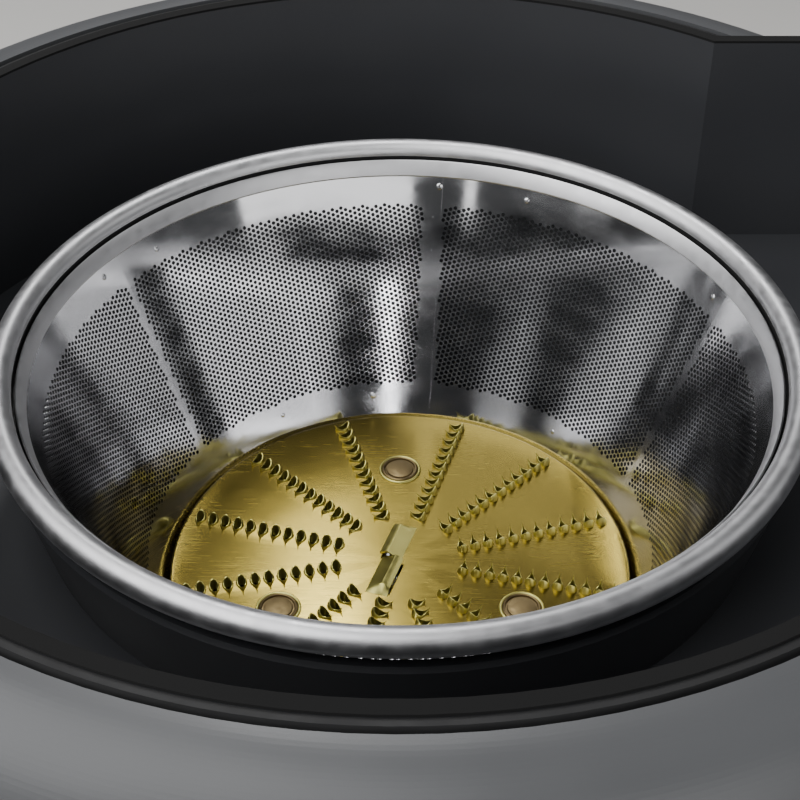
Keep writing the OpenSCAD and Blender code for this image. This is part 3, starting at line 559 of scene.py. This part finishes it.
def finish_piece(name, bm, body, materials, crease=35, replaced=()):
    """Turns a bmesh into a smooth-shaded piece that rides on a body; open edges and creases stay sharp."""
    borders = [i for i, e in enumerate(bm.edges) if e.is_boundary]
    piece = new_object(name, bm)
    mesh = piece.data
    mesh.polygons.foreach_set("use_smooth", [True] * len(mesh.polygons))
    mesh.set_sharp_from_angle(angle=math.radians(crease))
    for i in borders:
        mesh.edges[i].use_edge_sharp = True
    for material in materials:
        mesh.materials.append(material)
    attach(piece, body)
    if replaced:
        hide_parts(*replaced)
    return piece


def sheet_wall(piece, thickness, offset):
    """Gives an open piece the thickness of its sheet: outwards for an offset of 1, inwards for -1."""
    wall = piece.modifiers.new("Sheet", "SOLIDIFY")
    wall.thickness = thickness
    wall.offset = offset


def on_cone(azimuth, z, inset=0.0):
    """A place on the screen's inner face, moved inwards by the inset."""
    r = cone_radius(z) - inset
    turn = math.radians(azimuth)
    return Vector((AXIS_X + r * math.cos(turn), r * math.sin(turn), z))


# ---- The screen ----


def honeycomb(bm, pitch, width, height):
    """A flat honeycomb of at least this size, doubled up from one cell and centred on X."""
    upright = Matrix.Rotation(math.radians(30), 4, "Z")
    bmesh.ops.create_circle(bm, cap_ends=True, segments=6, radius=pitch / math.sqrt(3), matrix=upright)
    spacing = pitch * math.sqrt(3) / 2
    row_doublings = math.ceil(math.log2(height / pitch))
    column_doublings = math.ceil(math.log2(width / spacing))
    shifts = [Vector((0, pitch * 2**i, 0)) for i in range(row_doublings)]
    shifts.append(Vector((spacing, pitch / 2, 0)))
    shifts += [Vector((spacing * 2**i, 0, 0)) for i in range(1, column_doublings)]
    for shift in shifts:
        copied = bmesh.ops.duplicate(bm, geom=bm.verts[:] + bm.edges[:] + bm.faces[:])
        moved = [e for e in copied["geom"] if isinstance(e, bmesh.types.BMVert)]
        bmesh.ops.translate(bm, verts=moved, vec=shift)
    bmesh.ops.remove_doubles(bm, verts=bm.verts[:], dist=pitch / 20)
    bmesh.ops.translate(bm, verts=bm.verts[:], vec=Vector((-spacing * 2**column_doublings / 2, 0, 0)))


def slant_and_turn(place):
    """A flat place on the unrolled cone, as its distance from the apex and its turn from the middle."""
    return place.length, math.atan2(place.x, place.y)


def screen_panel(sizes, start, end, left_margin, right_margin):
    """One panel: a flat honeycomb cut to a sector, its holes opened, then rolled on to the cone."""
    bm = bmesh.new()
    pitch = sizes.hole_pitch
    slope = 1 / math.cos(CONE_ANGLE)
    low, high = ((z - APEX_Z) * slope for z in (SCREEN_LOW.z + 0.4 * MM, SCREEN_HIGH.z - 0.4 * MM))
    half = math.radians(end - start) / 2 * math.sin(CONE_ANGLE)
    foot = low * math.cos(half) - pitch
    honeycomb(bm, pitch, 2 * high * math.sin(half) + 4 * pitch, high - foot + 2 * pitch)
    bmesh.ops.translate(bm, verts=bm.verts[:], vec=Vector((0, foot, 0)))
    outside = []
    for face in bm.faces:
        slant, turn = slant_and_turn(face.calc_center_median())
        if not low <= slant <= high or abs(turn) > half + pitch / low:
            outside.append(face)
    bmesh.ops.delete(bm, geom=outside, context="FACES")
    for side in (-1, 1):
        bmesh.ops.bisect_plane(
            bm,
            geom=bm.verts[:] + bm.edges[:] + bm.faces[:],
            plane_co=(0, 0, 0),
            plane_no=(side * math.cos(half), -math.sin(half), 0),
            clear_outer=True,
        )
    first = (DISC_TOP + sizes.foot_blank - APEX_Z) * slope
    last = (BEAD_Z - sizes.top_blank - APEX_Z) * slope
    margins = {-1: left_margin, 1: right_margin}
    holed = []
    for face in bm.faces:
        slant, turn = slant_and_turn(face.calc_center_median())
        clear = slant * math.sin(half - abs(turn))
        if len(face.verts) == 6 and first <= slant <= last and clear > margins[1 if turn > 0 else -1]:
            holed.append(face)
    bmesh.ops.inset_individual(bm, faces=holed, thickness=(pitch - sizes.hole_width) / 2)
    bmesh.ops.delete(bm, geom=holed, context="FACES")
    middle = math.radians(start + end) / 2
    for vert in bm.verts:
        slant, turn = slant_and_turn(vert.co)
        azimuth = middle + turn / math.sin(CONE_ANGLE)
        r = slant * math.sin(CONE_ANGLE)
        z = APEX_Z + slant * math.cos(CONE_ANGLE)
        vert.co = (AXIS_X + r * math.cos(azimuth), r * math.sin(azimuth), z)
    return bm


class JUICER_OT_screen(bpy.types.Operator):
    """Build the perforated screen's panels, its lapped seam and its spot welds"""

    bl_idname = "juicer.screen"
    bl_label = "Screen"

    def execute(self, context):
        sizes = context.scene.juicer_screen
        steel = bright_sheet(context.scene.juicer_colours)
        hole = sizes.hole_width / 2
        thin, wide = sizes.strip_width / 2 + hole, sizes.seam_width / 2 + hole
        for i, (start, end) in enumerate(zip(PANEL_ENDS, PANEL_ENDS[1:])):
            left = wide if start == PANEL_ENDS[0] else thin
            right = wide if end == PANEL_ENDS[-1] else thin
            bm = screen_panel(sizes, start, end, left, right)
            replaced = ("basket_screen",) if i == 0 else ()
            piece = finish_piece(
                f"screen_panel_{i + 1}", bm, "basket", [steel], crease=50, replaced=replaced
            )
            sheet_wall(piece, sizes.sheet_gauge, 1)
        self.seam(steel, sizes)
        self.welds(steel)
        return {"FINISHED"}

    def seam(self, steel, sizes):
        """The overlapping edge of the sheet, a narrow strip just inside the screen."""
        bm = bmesh.new()
        bmesh.ops.create_grid(bm, x_segments=4, y_segments=24, size=0.5)
        width = math.degrees(0.95 * sizes.seam_width / CONE_TOP_R)
        foot, top = SCREEN_LOW.z + 3 * MM, BEAD_Z - 4.4 * MM
        for vert in bm.verts:
            z = foot + (vert.co.y + 0.5) * (top - foot)
            vert.co = on_cone(SEAM_AT + vert.co.x * width, z, 0.06 * MM)
        bmesh.ops.recalc_face_normals(bm, faces=bm.faces[:])
        piece = finish_piece("screen_seam", bm, "basket", [steel], crease=50)
        sheet_wall(piece, 0.1 * MM, 0)

    def welds(self, steel):
        """Spot welds: small flattened domes in the blank bands and along the seam."""
        band, foot = BEAD_Z - 7.2 * MM, DISC_TOP + 4.5 * MM
        upper = [(139, -1), (152, 0.4), (66, 0), (22.5, -0.4), (212, 0), (290, -1)]

        # Azimuth in degrees, height, and radius in millimetres
        spots = [(azimuth, band + up * MM, 0.75) for azimuth, up in upper]
        spots += [(SEAM_AT - 1, band + 0.4 * MM, 0.9), (97, foot, 0.9), (122, foot, 0.6), (47, foot, 0.6)]
        spots += [(SEAM_AT, band - down * MM, 0.4) for down in (7, 15, 23, 31, 39)]
        bm = bmesh.new()
        for azimuth, z, radius in spots:
            turn = Matrix.Rotation(math.radians(azimuth), 4, "Z") @ Matrix.Rotation(CONE_ANGLE, 4, "Y")
            place = Matrix.Translation(on_cone(azimuth, z)) @ turn @ Matrix.Diagonal((0.3, 1, 1, 1))
            bmesh.ops.create_uvsphere(bm, u_segments=16, v_segments=8, radius=radius * MM, matrix=place)
        finish_piece("screen_spot_welds", bm, "basket", [steel], crease=60)


class JUICER_OT_rim(bpy.types.Operator):
    """Build the rolled rim with its fold and band, and the hem at the screen's foot"""

    bl_idname = "juicer.rim"
    bl_label = "Basket rim"

    def execute(self, context):
        colours = context.scene.juicer_colours
        band = BEAD_RING - cone_radius(BEAD_Z) + SHEET

        # The rim's outline, as distances out from the bead's ring and up from its middle
        inner = [
            (-band - 1.7 * MM, -4.2 * MM),
            (-band - 0.35 * MM, -0.9 * MM),
            (-band - 0.05 * MM, -0.6 * MM),
        ]
        fold = [
            (-band + 0.3 * MM, -0.9 * MM),
            (-band + 0.45 * MM, -2.6 * MM),
            (-2.9 * MM, -2.5 * MM),
        ]
        outer = [
            (-2.6 * MM, -3.6 * MM),
            (-band + 0.4 * MM, -5.4 * MM),
            (-band - 1.0 * MM, -5.2 * MM),
        ]
        points = inner + fold + arc((0, 0), BEAD_R, 196, -118, 40) + outer
        bm = bmesh.new()
        revolve(bm, [(BEAD_RING + r, BEAD_Z + z) for r, z in points])
        # Faces inside the fold take the second finish, the painted black shade
        for face in bm.faces:
            centre = face.calc_center_median() - Vector((AXIS_X, 0, BEAD_Z))
            radius = Vector((centre.x, centre.y)).length - BEAD_RING
            in_shaded_fold = -band + 0.2 * MM < radius < -2.55 * MM and -2.7 * MM < centre.z < -0.1 * MM
            face.material_index = int(in_shaded_fold)
        finishes = [satin_rim(colours), fold_shadow()]
        finish_piece("rolled_rim", bm, "basket", finishes, crease=40, replaced=("basket_rim",))

        bm = bmesh.new()
        hem = [(0.1, -0.1), (0.9, -0.1), (1.2, 0.1), (2.3, 2.9), (1.7, 3.0), (0.4, 0.4)]
        revolve(bm, [(CONE_FOOT_R + r * MM, SCREEN_LOW.z + z * MM) for r, z in hem])
        finish_piece("screen_hem", bm, "basket", [satin_rim(colours)])
        return {"FINISHED"}


# ---- The grating disc ----

TOOTH_SIDES = 12

# The greatest value of sin(t) * sin(t / 2), the half-width of a tear-drop
DROP_WIDEST = 0.77


def tooth_places(sizes):
    """Where each tooth stands: a matrix whose X runs out along the row and whose Y runs with the spin."""
    rows = sizes.rows_per_rivet
    step = (math.radians(120) - 2 * sizes.row_side) / max(rows - 1, 1)
    for rivet in RIVET_ANGLES:
        for row in range(rows):
            turn = Matrix.Rotation(math.radians(rivet) + sizes.row_side + row * step, 4, "Z")
            for k in range(sizes.teeth_per_row):
                out = Matrix.Translation((sizes.tooth_start + k * sizes.tooth_pitch, 0, 0))
                yield Matrix.Translation((AXIS_X, 0, DISC_TOP)) @ turn @ out


def drop_ring(ring, sizes, scale, height):
    """Moves a ring of points on to a tear-drop; its size and height depend on the turn from its tip."""
    for i, vert in enumerate(ring):
        turn = FULL_TURN * i / len(ring)
        across = math.sin(turn) * math.sin(turn / 2) / DROP_WIDEST
        size = scale(turn)
        vert.co = (
            size * across * sizes.tooth_width / 2,
            size * math.cos(turn) * sizes.tooth_length / 2,
            height(turn),
        )


def next_ring(bm, ring):
    """Extrudes a ring of edges, and gives the new points in the order of the old ones."""
    edges = [bm.edges.get(pair) for pair in zip(ring, ring[1:] + ring[:1])]
    made = set(bmesh.ops.extrude_edge_only(bm, edges=edges)["geom"])
    return [next(e.other_vert(v) for e in v.link_edges if e.other_vert(v) in made) for v in ring]


def tooth_mesh(sizes):
    """A pierced tooth: a burr round a tear-drop hole, high at its round back and drawn out to a sharp tip."""
    bm = bmesh.new()
    ring = bmesh.ops.create_circle(bm, cap_ends=False, segments=TOOTH_SIDES, radius=1.0)["verts"]

    def back(turn):
        return max(0.0, -math.cos(turn)) ** 1.5

    def front(turn):
        return max(0.0, math.cos(turn)) ** 10

    def burr(turn):
        return sizes.tooth_height * (0.2 + 0.8 * back(turn) + 0.65 * front(turn))

    # The burr's outside, its crest and its inside, each as a size and a height round the hole
    rings = [
        (lambda turn: 1.0, lambda turn: -0.02 * MM),
        (lambda turn: 0.92 + 0.02 * back(turn), lambda turn: 0.5 * burr(turn)),
        (lambda turn: 0.82 - 0.08 * back(turn) + 0.3 * front(turn), burr),
        (lambda turn: 0.72 - 0.1 * back(turn) + 0.36 * front(turn), lambda turn: burr(turn) * 0.97),
        (lambda turn: 0.66, lambda turn: 0.1 * MM),
        (lambda turn: 0.6, lambda turn: -1.3 * MM),
    ]
    for i, (scale, height) in enumerate(rings):
        if i:
            ring = next_ring(bm, ring)
        drop_ring(ring, sizes, scale, height)
    bmesh.ops.recalc_face_normals(bm, faces=bm.faces[:])
    return bm


def repeat_mesh(unit, places):
    """One mesh that holds a copy of the unit at each place."""
    source = bpy.data.meshes.new("unit")
    unit.to_mesh(source)
    unit.free()
    bm = bmesh.new()
    for place in places:
        known = len(bm.verts)
        bm.from_mesh(source)
        bm.verts.ensure_lookup_table()
        bmesh.ops.transform(bm, matrix=place, verts=bm.verts[known:])
    bpy.data.meshes.remove(source)
    return bm


def cut_away(piece, shape):
    """Cuts a closed bmesh out of the piece for good."""
    helper = new_object("cutter", shape)
    cut = piece.modifiers.new("Cut", "BOOLEAN")
    cut.object = helper
    cut.solver = "EXACT"
    bpy.context.view_layer.update()
    with bpy.context.temp_override(object=piece, active_object=piece):
        bpy.ops.object.modifier_apply(modifier=cut.name)
    mesh = helper.data
    bpy.data.objects.remove(helper)
    bpy.data.meshes.remove(mesh)


def blade_places(sizes):
    """The two core blades, half a turn apart and offset to the side that each one cuts on."""
    for side in (0, math.pi):
        turn = Matrix.Rotation(sizes.blade_angle + side, 4, "Z")
        out = Matrix.Translation((sizes.blade_length / 2 + 0.2 * MM, 0.4 * MM, 0))
        yield Matrix.Translation((AXIS_X + sizes.blade_shift, 0, DISC_TOP)) @ turn @ out


class JUICER_OT_disc(bpy.types.Operator):
    """Build the grating disc with its pierced teeth, core blades and rivets"""

    bl_idname = "juicer.disc"
    bl_label = "Grating disc"

    def execute(self, context):
        sizes = context.scene.juicer_disc
        colours = context.scene.juicer_colours
        # The paler coat, a painted highlight, goes on the teeth, the core blades and the rivet seats
        coat, bright = gold_nitride(colours), painted_highlight_nitride(colours)
        bm = bmesh.new()
        roll = 0.9 * MM
        edge = arc((DISC_R - roll, DISC_TOP - roll), roll, 90, 0, 8)
        foot = [(DISC_R, DISC_LOW.z), (DISC_R - 0.9 * MM, DISC_LOW.z)]
        under = [(DISC_R - 0.9 * MM, DISC_TOP - 1.2 * MM), (0, DISC_TOP - 1.2 * MM)]
        revolve(bm, [(0, DISC_TOP)] + edge + foot + under)
        crease = 40
        disc = finish_piece(
            "nitride_disc", bm, "basket", [coat], crease=crease, replaced=("grating_disc",)
        )
        cut_away(disc, repeat_mesh(self.tooth_hole(sizes), tooth_places(sizes)))
        cut_away(disc, repeat_mesh(self.blade_slot(sizes), blade_places(sizes)))
        disc.data.set_sharp_from_angle(angle=math.radians(crease))

        teeth = repeat_mesh(tooth_mesh(sizes), tooth_places(sizes))
        finish_piece(
            "pierced_teeth", teeth, "basket", [bright], crease=55, replaced=("grating_teeth",)
        )
        self.blades(sizes, bright)
        self.rivets(colours, bright)
        return {"FINISHED"}

    def tooth_hole(self, sizes):
        """The hole under a tooth, as a tear-drop prism from below the disc to above it."""
        bm = bmesh.new()
        ring = bmesh.ops.create_circle(bm, cap_ends=True, segments=TOOTH_SIDES, radius=1.0)["verts"]
        drop_ring(ring, sizes, lambda turn: 0.72, lambda turn: -3 * MM)
        made = bmesh.ops.extrude_face_region(bm, geom=bm.faces[:])["geom"]
        top = [v for v in made if isinstance(v, bmesh.types.BMVert)]
        bmesh.ops.translate(bm, verts=top, vec=(0, 0, 4 * MM))
        bmesh.ops.recalc_face_normals(bm, faces=bm.faces[:])
        return bm

    def blade_slot(self, sizes):
        """The slot under a core blade's raised edge."""
        bm = bmesh.new()
        size = (sizes.blade_length - 1.6 * MM, 2.4 * MM, 5 * MM)
        place = Matrix.Translation((0, sizes.blade_width / 2 - 0.9 * MM, 0))
        bmesh.ops.create_cube(bm, size=1.0, matrix=place @ Matrix.Diagonal((*size, 1)))
        return bm

    def blades(self, sizes, bright):
        """Core blades: a louvre that rises from its hinge side to a sharp edge over a slot."""
        bm = bmesh.new()
        bmesh.ops.create_grid(bm, x_segments=12, y_segments=8, size=0.5)
        tall = 2.2 * MM
        lift = 0.05 * MM

        # The crest's place across the blade, and the share of its length that slopes down at the outer end
        crest = 0.68
        slope = 0.14
        for vert in bm.verts:
            across = vert.co.y + 0.5
            rise = min(across / crest, 1 - 0.5 * (across - crest) / (1 - crest))
            end = min(1.0, (0.5 - vert.co.x) / slope)
            height = lift + tall * rise * end
            vert.co = (vert.co.x * sizes.blade_length, vert.co.y * sizes.blade_width, height)
        bmesh.ops.recalc_face_normals(bm, faces=bm.faces[:])
        if bm.faces[:][0].normal.z < 0:
            bmesh.ops.reverse_faces(bm, faces=bm.faces[:])
        blades = repeat_mesh(bm, blade_places(sizes))
        piece = finish_piece(
            "core_louvres", blades, "basket", [bright], crease=30, replaced=("core_blades",)
        )
        sheet_wall(piece, 0.5 * MM, -1)

    def rivets(self, colours, bright):
        """Rivet heads: a flat crown, a narrow groove and a turned-up ring, each head in a raised seat."""
        crown = [(0, 0.55), (2.9, 0.55), (3.3, 0.45), (3.45, 0.15), (3.75, 0.15), (3.9, 0.55), (4.2, 0.66)]
        flank = [(4.5, 0.45), (RIVET_HEAD_R / MM, 0.02), (0, 0.02)]
        heads = self.at_each_rivet([(r * MM, DISC_TOP + z * MM) for r, z in crown + flank])
        brown = rivet_metal(colours)
        finish_piece(
            "rivet_heads", heads, "basket", [brown], crease=40, replaced=("disc_rivets",)
        )
        seats = self.at_each_rivet(arc((4.95 * MM, DISC_TOP), 0.42 * MM, -20, 200, 10))
        finish_piece("rivet_seats", seats, "basket", [bright], crease=40)

    def at_each_rivet(self, outline):
        """A turned shape from its outline, one at each rivet."""
        bm = bmesh.new()
        revolve(bm, outline, (0, 0), 48)
        turns = [math.radians(angle) for angle in RIVET_ANGLES]
        places = [(AXIS_X + RIVET_RING * math.cos(t), RIVET_RING * math.sin(t), 0) for t in turns]
        return repeat_mesh(bm, map(Matrix.Translation, places))


class JUICER_OT_controls(bpy.types.Operator):
    """Build the marks round the speed knob and the knob's pointer"""

    bl_idname = "juicer.controls"
    bl_label = "Controls"

    def execute(self, context):
        # Pad-printed ink: flat and soft white, with the grain of the plastic under it
        paint = moulded("printed_mark", linear("#d8d8d4"), 0.5)
        thick, edge = 0.3 * MM, 0.14 * MM
        dial = Matrix.Translation((AXIS_X, PANEL_LOW.y, KNOB_Z))
        bm = bmesh.new()
        for i in range(6):
            turn = Matrix.Rotation(math.radians(-45 + 27 * i), 4, "Y")
            size = (0.9 * MM, thick, (1.6 + 0.35 * i) * MM)
            rounded_bar(bm, (0, 0.02 * MM, 30.2 * MM), size, edge, dial @ turn)
        finish_piece("dial_marks", bm, "housing", [paint])

        bm = bmesh.new()
        middle = (AXIS_X, KNOB_FACE, KNOB_Z + 14 * MM)
        rounded_bar(bm, middle, (1.4 * MM, thick, 9 * MM), edge)
        finish_piece("knob_pointer", bm, "knob", [paint])
        return {"FINISHED"}


class JUICER_OT_finishes(bpy.types.Operator):
    """Give every CAD piece its own finish"""

    bl_idname = "juicer.finishes"
    bl_label = "Finishes"

    def execute(self, context):
        colours = context.scene.juicer_colours

        # Moulded plastics. ABS on the outside: a spark-eroded grain on the housing, finer and softer above it
        shell = moulded("textured_abs_housing", colours.housing, 0.5, 0.6 * MM, 0.03 * MM)
        collar = moulded("satin_abs_collar", colours.collar, 0.38)
        # Smoked plastic for the bin: nearly smooth, with a clear gloss
        smoked = moulded("smoked_bin_plastic", colours.bin, 0.24, 0.6 * MM, 0.006 * MM)
        # Nylon: waxy and a little dull, and duller still where glass fibre lies near its skin
        clamp = moulded("clamp_nylon", linear("#55565a"), 0.42)
        natural = moulded("natural_nylon", linear("#d8d6cf"), 0.45)
        inner = moulded("glass_filled_nylon", linear("#3c3d40"), 0.55)
        # Black parts from a plain tool: soft gloss
        black = moulded("black_moulding", linear("#1b1c1d"), 0.4)
        # Epoxy that a capacitor was dipped in: a wet-looking ochre skin
        dipped = moulded("dipped_capacitor", linear("#c08c2a"), 0.25)

        # Moulded rubber, silicone that shines more than it, and pressed carbon, which is sooty
        rubber = rubbery("black_rubber", linear("#101011"))
        silicone = rubbery("red_silicone", linear("#b5362a"), 0.45)
        carbon = rubbery("pressed_carbon", linear("#1c1c1e"), 0.5)

        # Steel ground round its axis: bright, with fine lines. Zinc plate: cooler and cloudier
        ground = worked_metal("ground_steel", linear("#c9ccd0"), 0.2, 1.0 * MM, (1, 1, 0.1))
        zinc = worked_metal("zinc_plated_steel", linear("#b4b6b8"), 0.32, 2 * MM)
        # Rolled brass, and copper with the lathe's lines round it
        brass = worked_metal("rolled_brass", linear("#b9934a"), 0.3)
        bar = worked_metal("turned_copper", linear("#c77f52"), 0.25, 0.6 * MM, (1, 1, 4))
        # Die-cast alloy: grey, satin and coarse in the skin
        alloy = worked_metal("die_cast_alloy", linear("#a3a6a9"), 0.42, 3 * MM, depth=0.05 * MM)
        # Pressed stainless: drawn lines that run round the floor
        pressed = worked_metal(
            "pressed_steel_floor", colours.steel, 0.25, 1.5 * MM, (1, 0.1, 1), source=round_axis
        )
        finishes = {
            shell: ["housing_shell"],
            collar: ["housing_collar", "control_panel"],
            bowl_plastic(colours): ["juice_bowl", "spout_nozzle"],
            smoked: ["pulp_bin"],
            clamp: ["clamp_front", "clamp_back"],
            natural: ["interlock_plunger"],
            dipped: ["filter_capacitor"],
            inner: ["motor_deck", "base_plate", "board_posts", "cooling_fan"],
            black: [
                "rotary_switch",
                "power_inlet",
                "interlock_switch",
                "drive_coupling",
                "basket_hub",
                "speed_knob",
            ],
            rubber: ["rubber_feet", "motor_mounts", "shaft_seal", "bowl_gasket"],
            silicone: ["spout_ring"],
            carbon: ["carbon_brushes"],
            ground: [
                "upper_bearing",
                "lower_bearing",
                "brush_springs",
                "inlet_pins",
                "clamp_pins",
                "motor_shaft",
                "interlock_spring",
                "switch_shaft",
            ],
            zinc: ["base_screws", "deck_screws", "mount_screws", "tie_rods"],
            brass: ["brush_holders"],
            bar: ["commutator"],
            alloy: ["upper_bracket", "lower_bracket"],
            laminations(): ["stator_core", "armature_core"],
            wound_copper(): ["field_windings", "armature_windings"],
            circuit_laminate(): ["control_board"],
            pressed: ["basket_floor"],
        }
        for material, nodes in finishes.items():
            for name in nodes:
                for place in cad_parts[name].material_slots:
                    place.material = material
        return {"FINISHED"}


# ---- The studio ----

# Each light's name, its offset from the middle of the bead, its width and height, and its power in watts
LIGHTS = [
    ("overhead_softbox", (-0.7, -0.25, 0.95), (1.5, 1.6), 25),
    ("back_softbox", (-0.075, 0.52, 0.73), (0.09, 0.36), 2.2),
    ("front_panel", (0.45, -1.0, 0.35), (1.2, 0.9), 6),
    ("left_panel", (-1.1, -0.35, 0.3), (0.6, 0.8), 1.4),
    ("right_panel", (1.0, 0.1, 0.75), (0.6, 0.6), 1.2),
    ("front_strip", (-0.4, -0.95, 0.28), (0.06, 0.6), 0.2),
]


class JUICER_OT_stage(bpy.types.Operator):
    """Build the floor, the lights and the camera"""

    bl_idname = "juicer.stage"
    bl_label = "Studio"

    def execute(self, context):
        aim = Vector((AXIS_X, 0, BEAD_Z))
        self.floor()
        self.air(context.scene)
        for name, offset, size, power in LIGHTS:
            self.light(name, aim, Vector(offset), size, power)
        self.camera(context.scene, aim)
        return {"FINISHED"}

    def floor(self):
        """A plain board, 6 m square."""
        bm = bmesh.new()
        bmesh.ops.create_grid(bm, x_segments=8, y_segments=8, size=3.0)
        board = new_object("studio_floor", bm)
        board.data.materials.append(studio_floor())

    def air(self, scene):
        """A dim, even light from all round."""
        world = bpy.data.worlds.new("studio_air")
        world.use_nodes = True
        tree = world.node_tree
        tree.nodes.clear()
        sky = add(tree, "ShaderNodeBackground", {"Color": linear("#e6e8ea"), "Strength": 0.1})
        add(tree, "ShaderNodeOutputWorld", {"Surface": sky.outputs[0]})
        scene.world = world

    def light(self, name, aim, offset, size, power):
        """A soft box at an offset from the point that it faces."""
        data = bpy.data.lights.new(name, "AREA")
        data.shape = "RECTANGLE"
        data.size, data.size_y = size
        data.energy = power
        lamp = bpy.data.objects.new(name, data)
        lamp.location = aim + offset
        lamp.rotation_euler = (-offset).to_track_quat("-Z", "Y").to_euler()
        bpy.context.scene.collection.objects.link(lamp)

    def camera(self, scene, aim):
        """The camera in front of the machine, looking down into the basket."""
        stage = scene.juicer_stage
        data = bpy.data.cameras.new("camera")
        data.sensor_fit = "HORIZONTAL"
        data.sensor_width = 36
        data.lens = stage.lens
        data.clip_start = 0.01
        camera = bpy.data.objects.new("camera", data)
        camera.location = aim + Vector((0, -stage.camera_back, stage.camera_up))
        down = math.atan2(stage.camera_up, stage.camera_back) + stage.camera_tilt
        camera.rotation_euler = (math.pi / 2 - down, 0, 0)
        scene.collection.objects.link(camera)
        scene.camera = camera


# ---- The add-on ----

GROUPS = {
    "juicer_screen": JuicerScreenSizes,
    "juicer_disc": JuicerDiscSizes,
    "juicer_colours": JuicerColours,
    "juicer_stage": JuicerStage,
}

OPERATORS = [
    JUICER_OT_screen,
    JUICER_OT_rim,
    JUICER_OT_disc,
    JUICER_OT_controls,
    JUICER_OT_finishes,
    JUICER_OT_stage,
]


class JUICER_PT_panel(bpy.types.Panel):
    """Lists the juicer's pieces and its sizes in the sidebar"""

    bl_idname = "JUICER_PT_panel"
    bl_label = "Juicer"
    bl_space_type = "VIEW_3D"
    bl_region_type = "UI"
    bl_category = "Juicer"

    def draw(self, context):
        """Draws a button for each operator, then every size and colour."""
        for operator in OPERATORS:
            self.layout.operator(operator.bl_idname)
        for name in GROUPS:
            group = getattr(context.scene, name)
            for key in group.bl_rna.properties.keys():
                if key not in ("rna_type", "name"):
                    self.layout.prop(group, key)


def register():
    """Registers the classes, and gives the scene its groups of sizes and colours."""
    for group in GROUPS.values():
        bpy.utils.register_class(group)
    for key, group in GROUPS.items():
        setattr(bpy.types.Scene, key, PointerProperty(type=group))
    for operator in OPERATORS:
        bpy.utils.register_class(operator)
    bpy.utils.register_class(JUICER_PT_panel)


def unregister():
    """Takes the classes and the scene's groups away again."""
    bpy.utils.unregister_class(JUICER_PT_panel)
    for operator in reversed(OPERATORS):
        bpy.utils.unregister_class(operator)
    for key in GROUPS:
        delattr(bpy.types.Scene, key)
    for group in GROUPS.values():
        bpy.utils.unregister_class(group)


def main():
    register()
    bpy.ops.juicer.finishes()
    bpy.ops.juicer.screen()
    bpy.ops.juicer.rim()
    bpy.ops.juicer.disc()
    bpy.ops.juicer.controls()
    bpy.ops.juicer.stage()


if __name__ == "__main__":
    main()
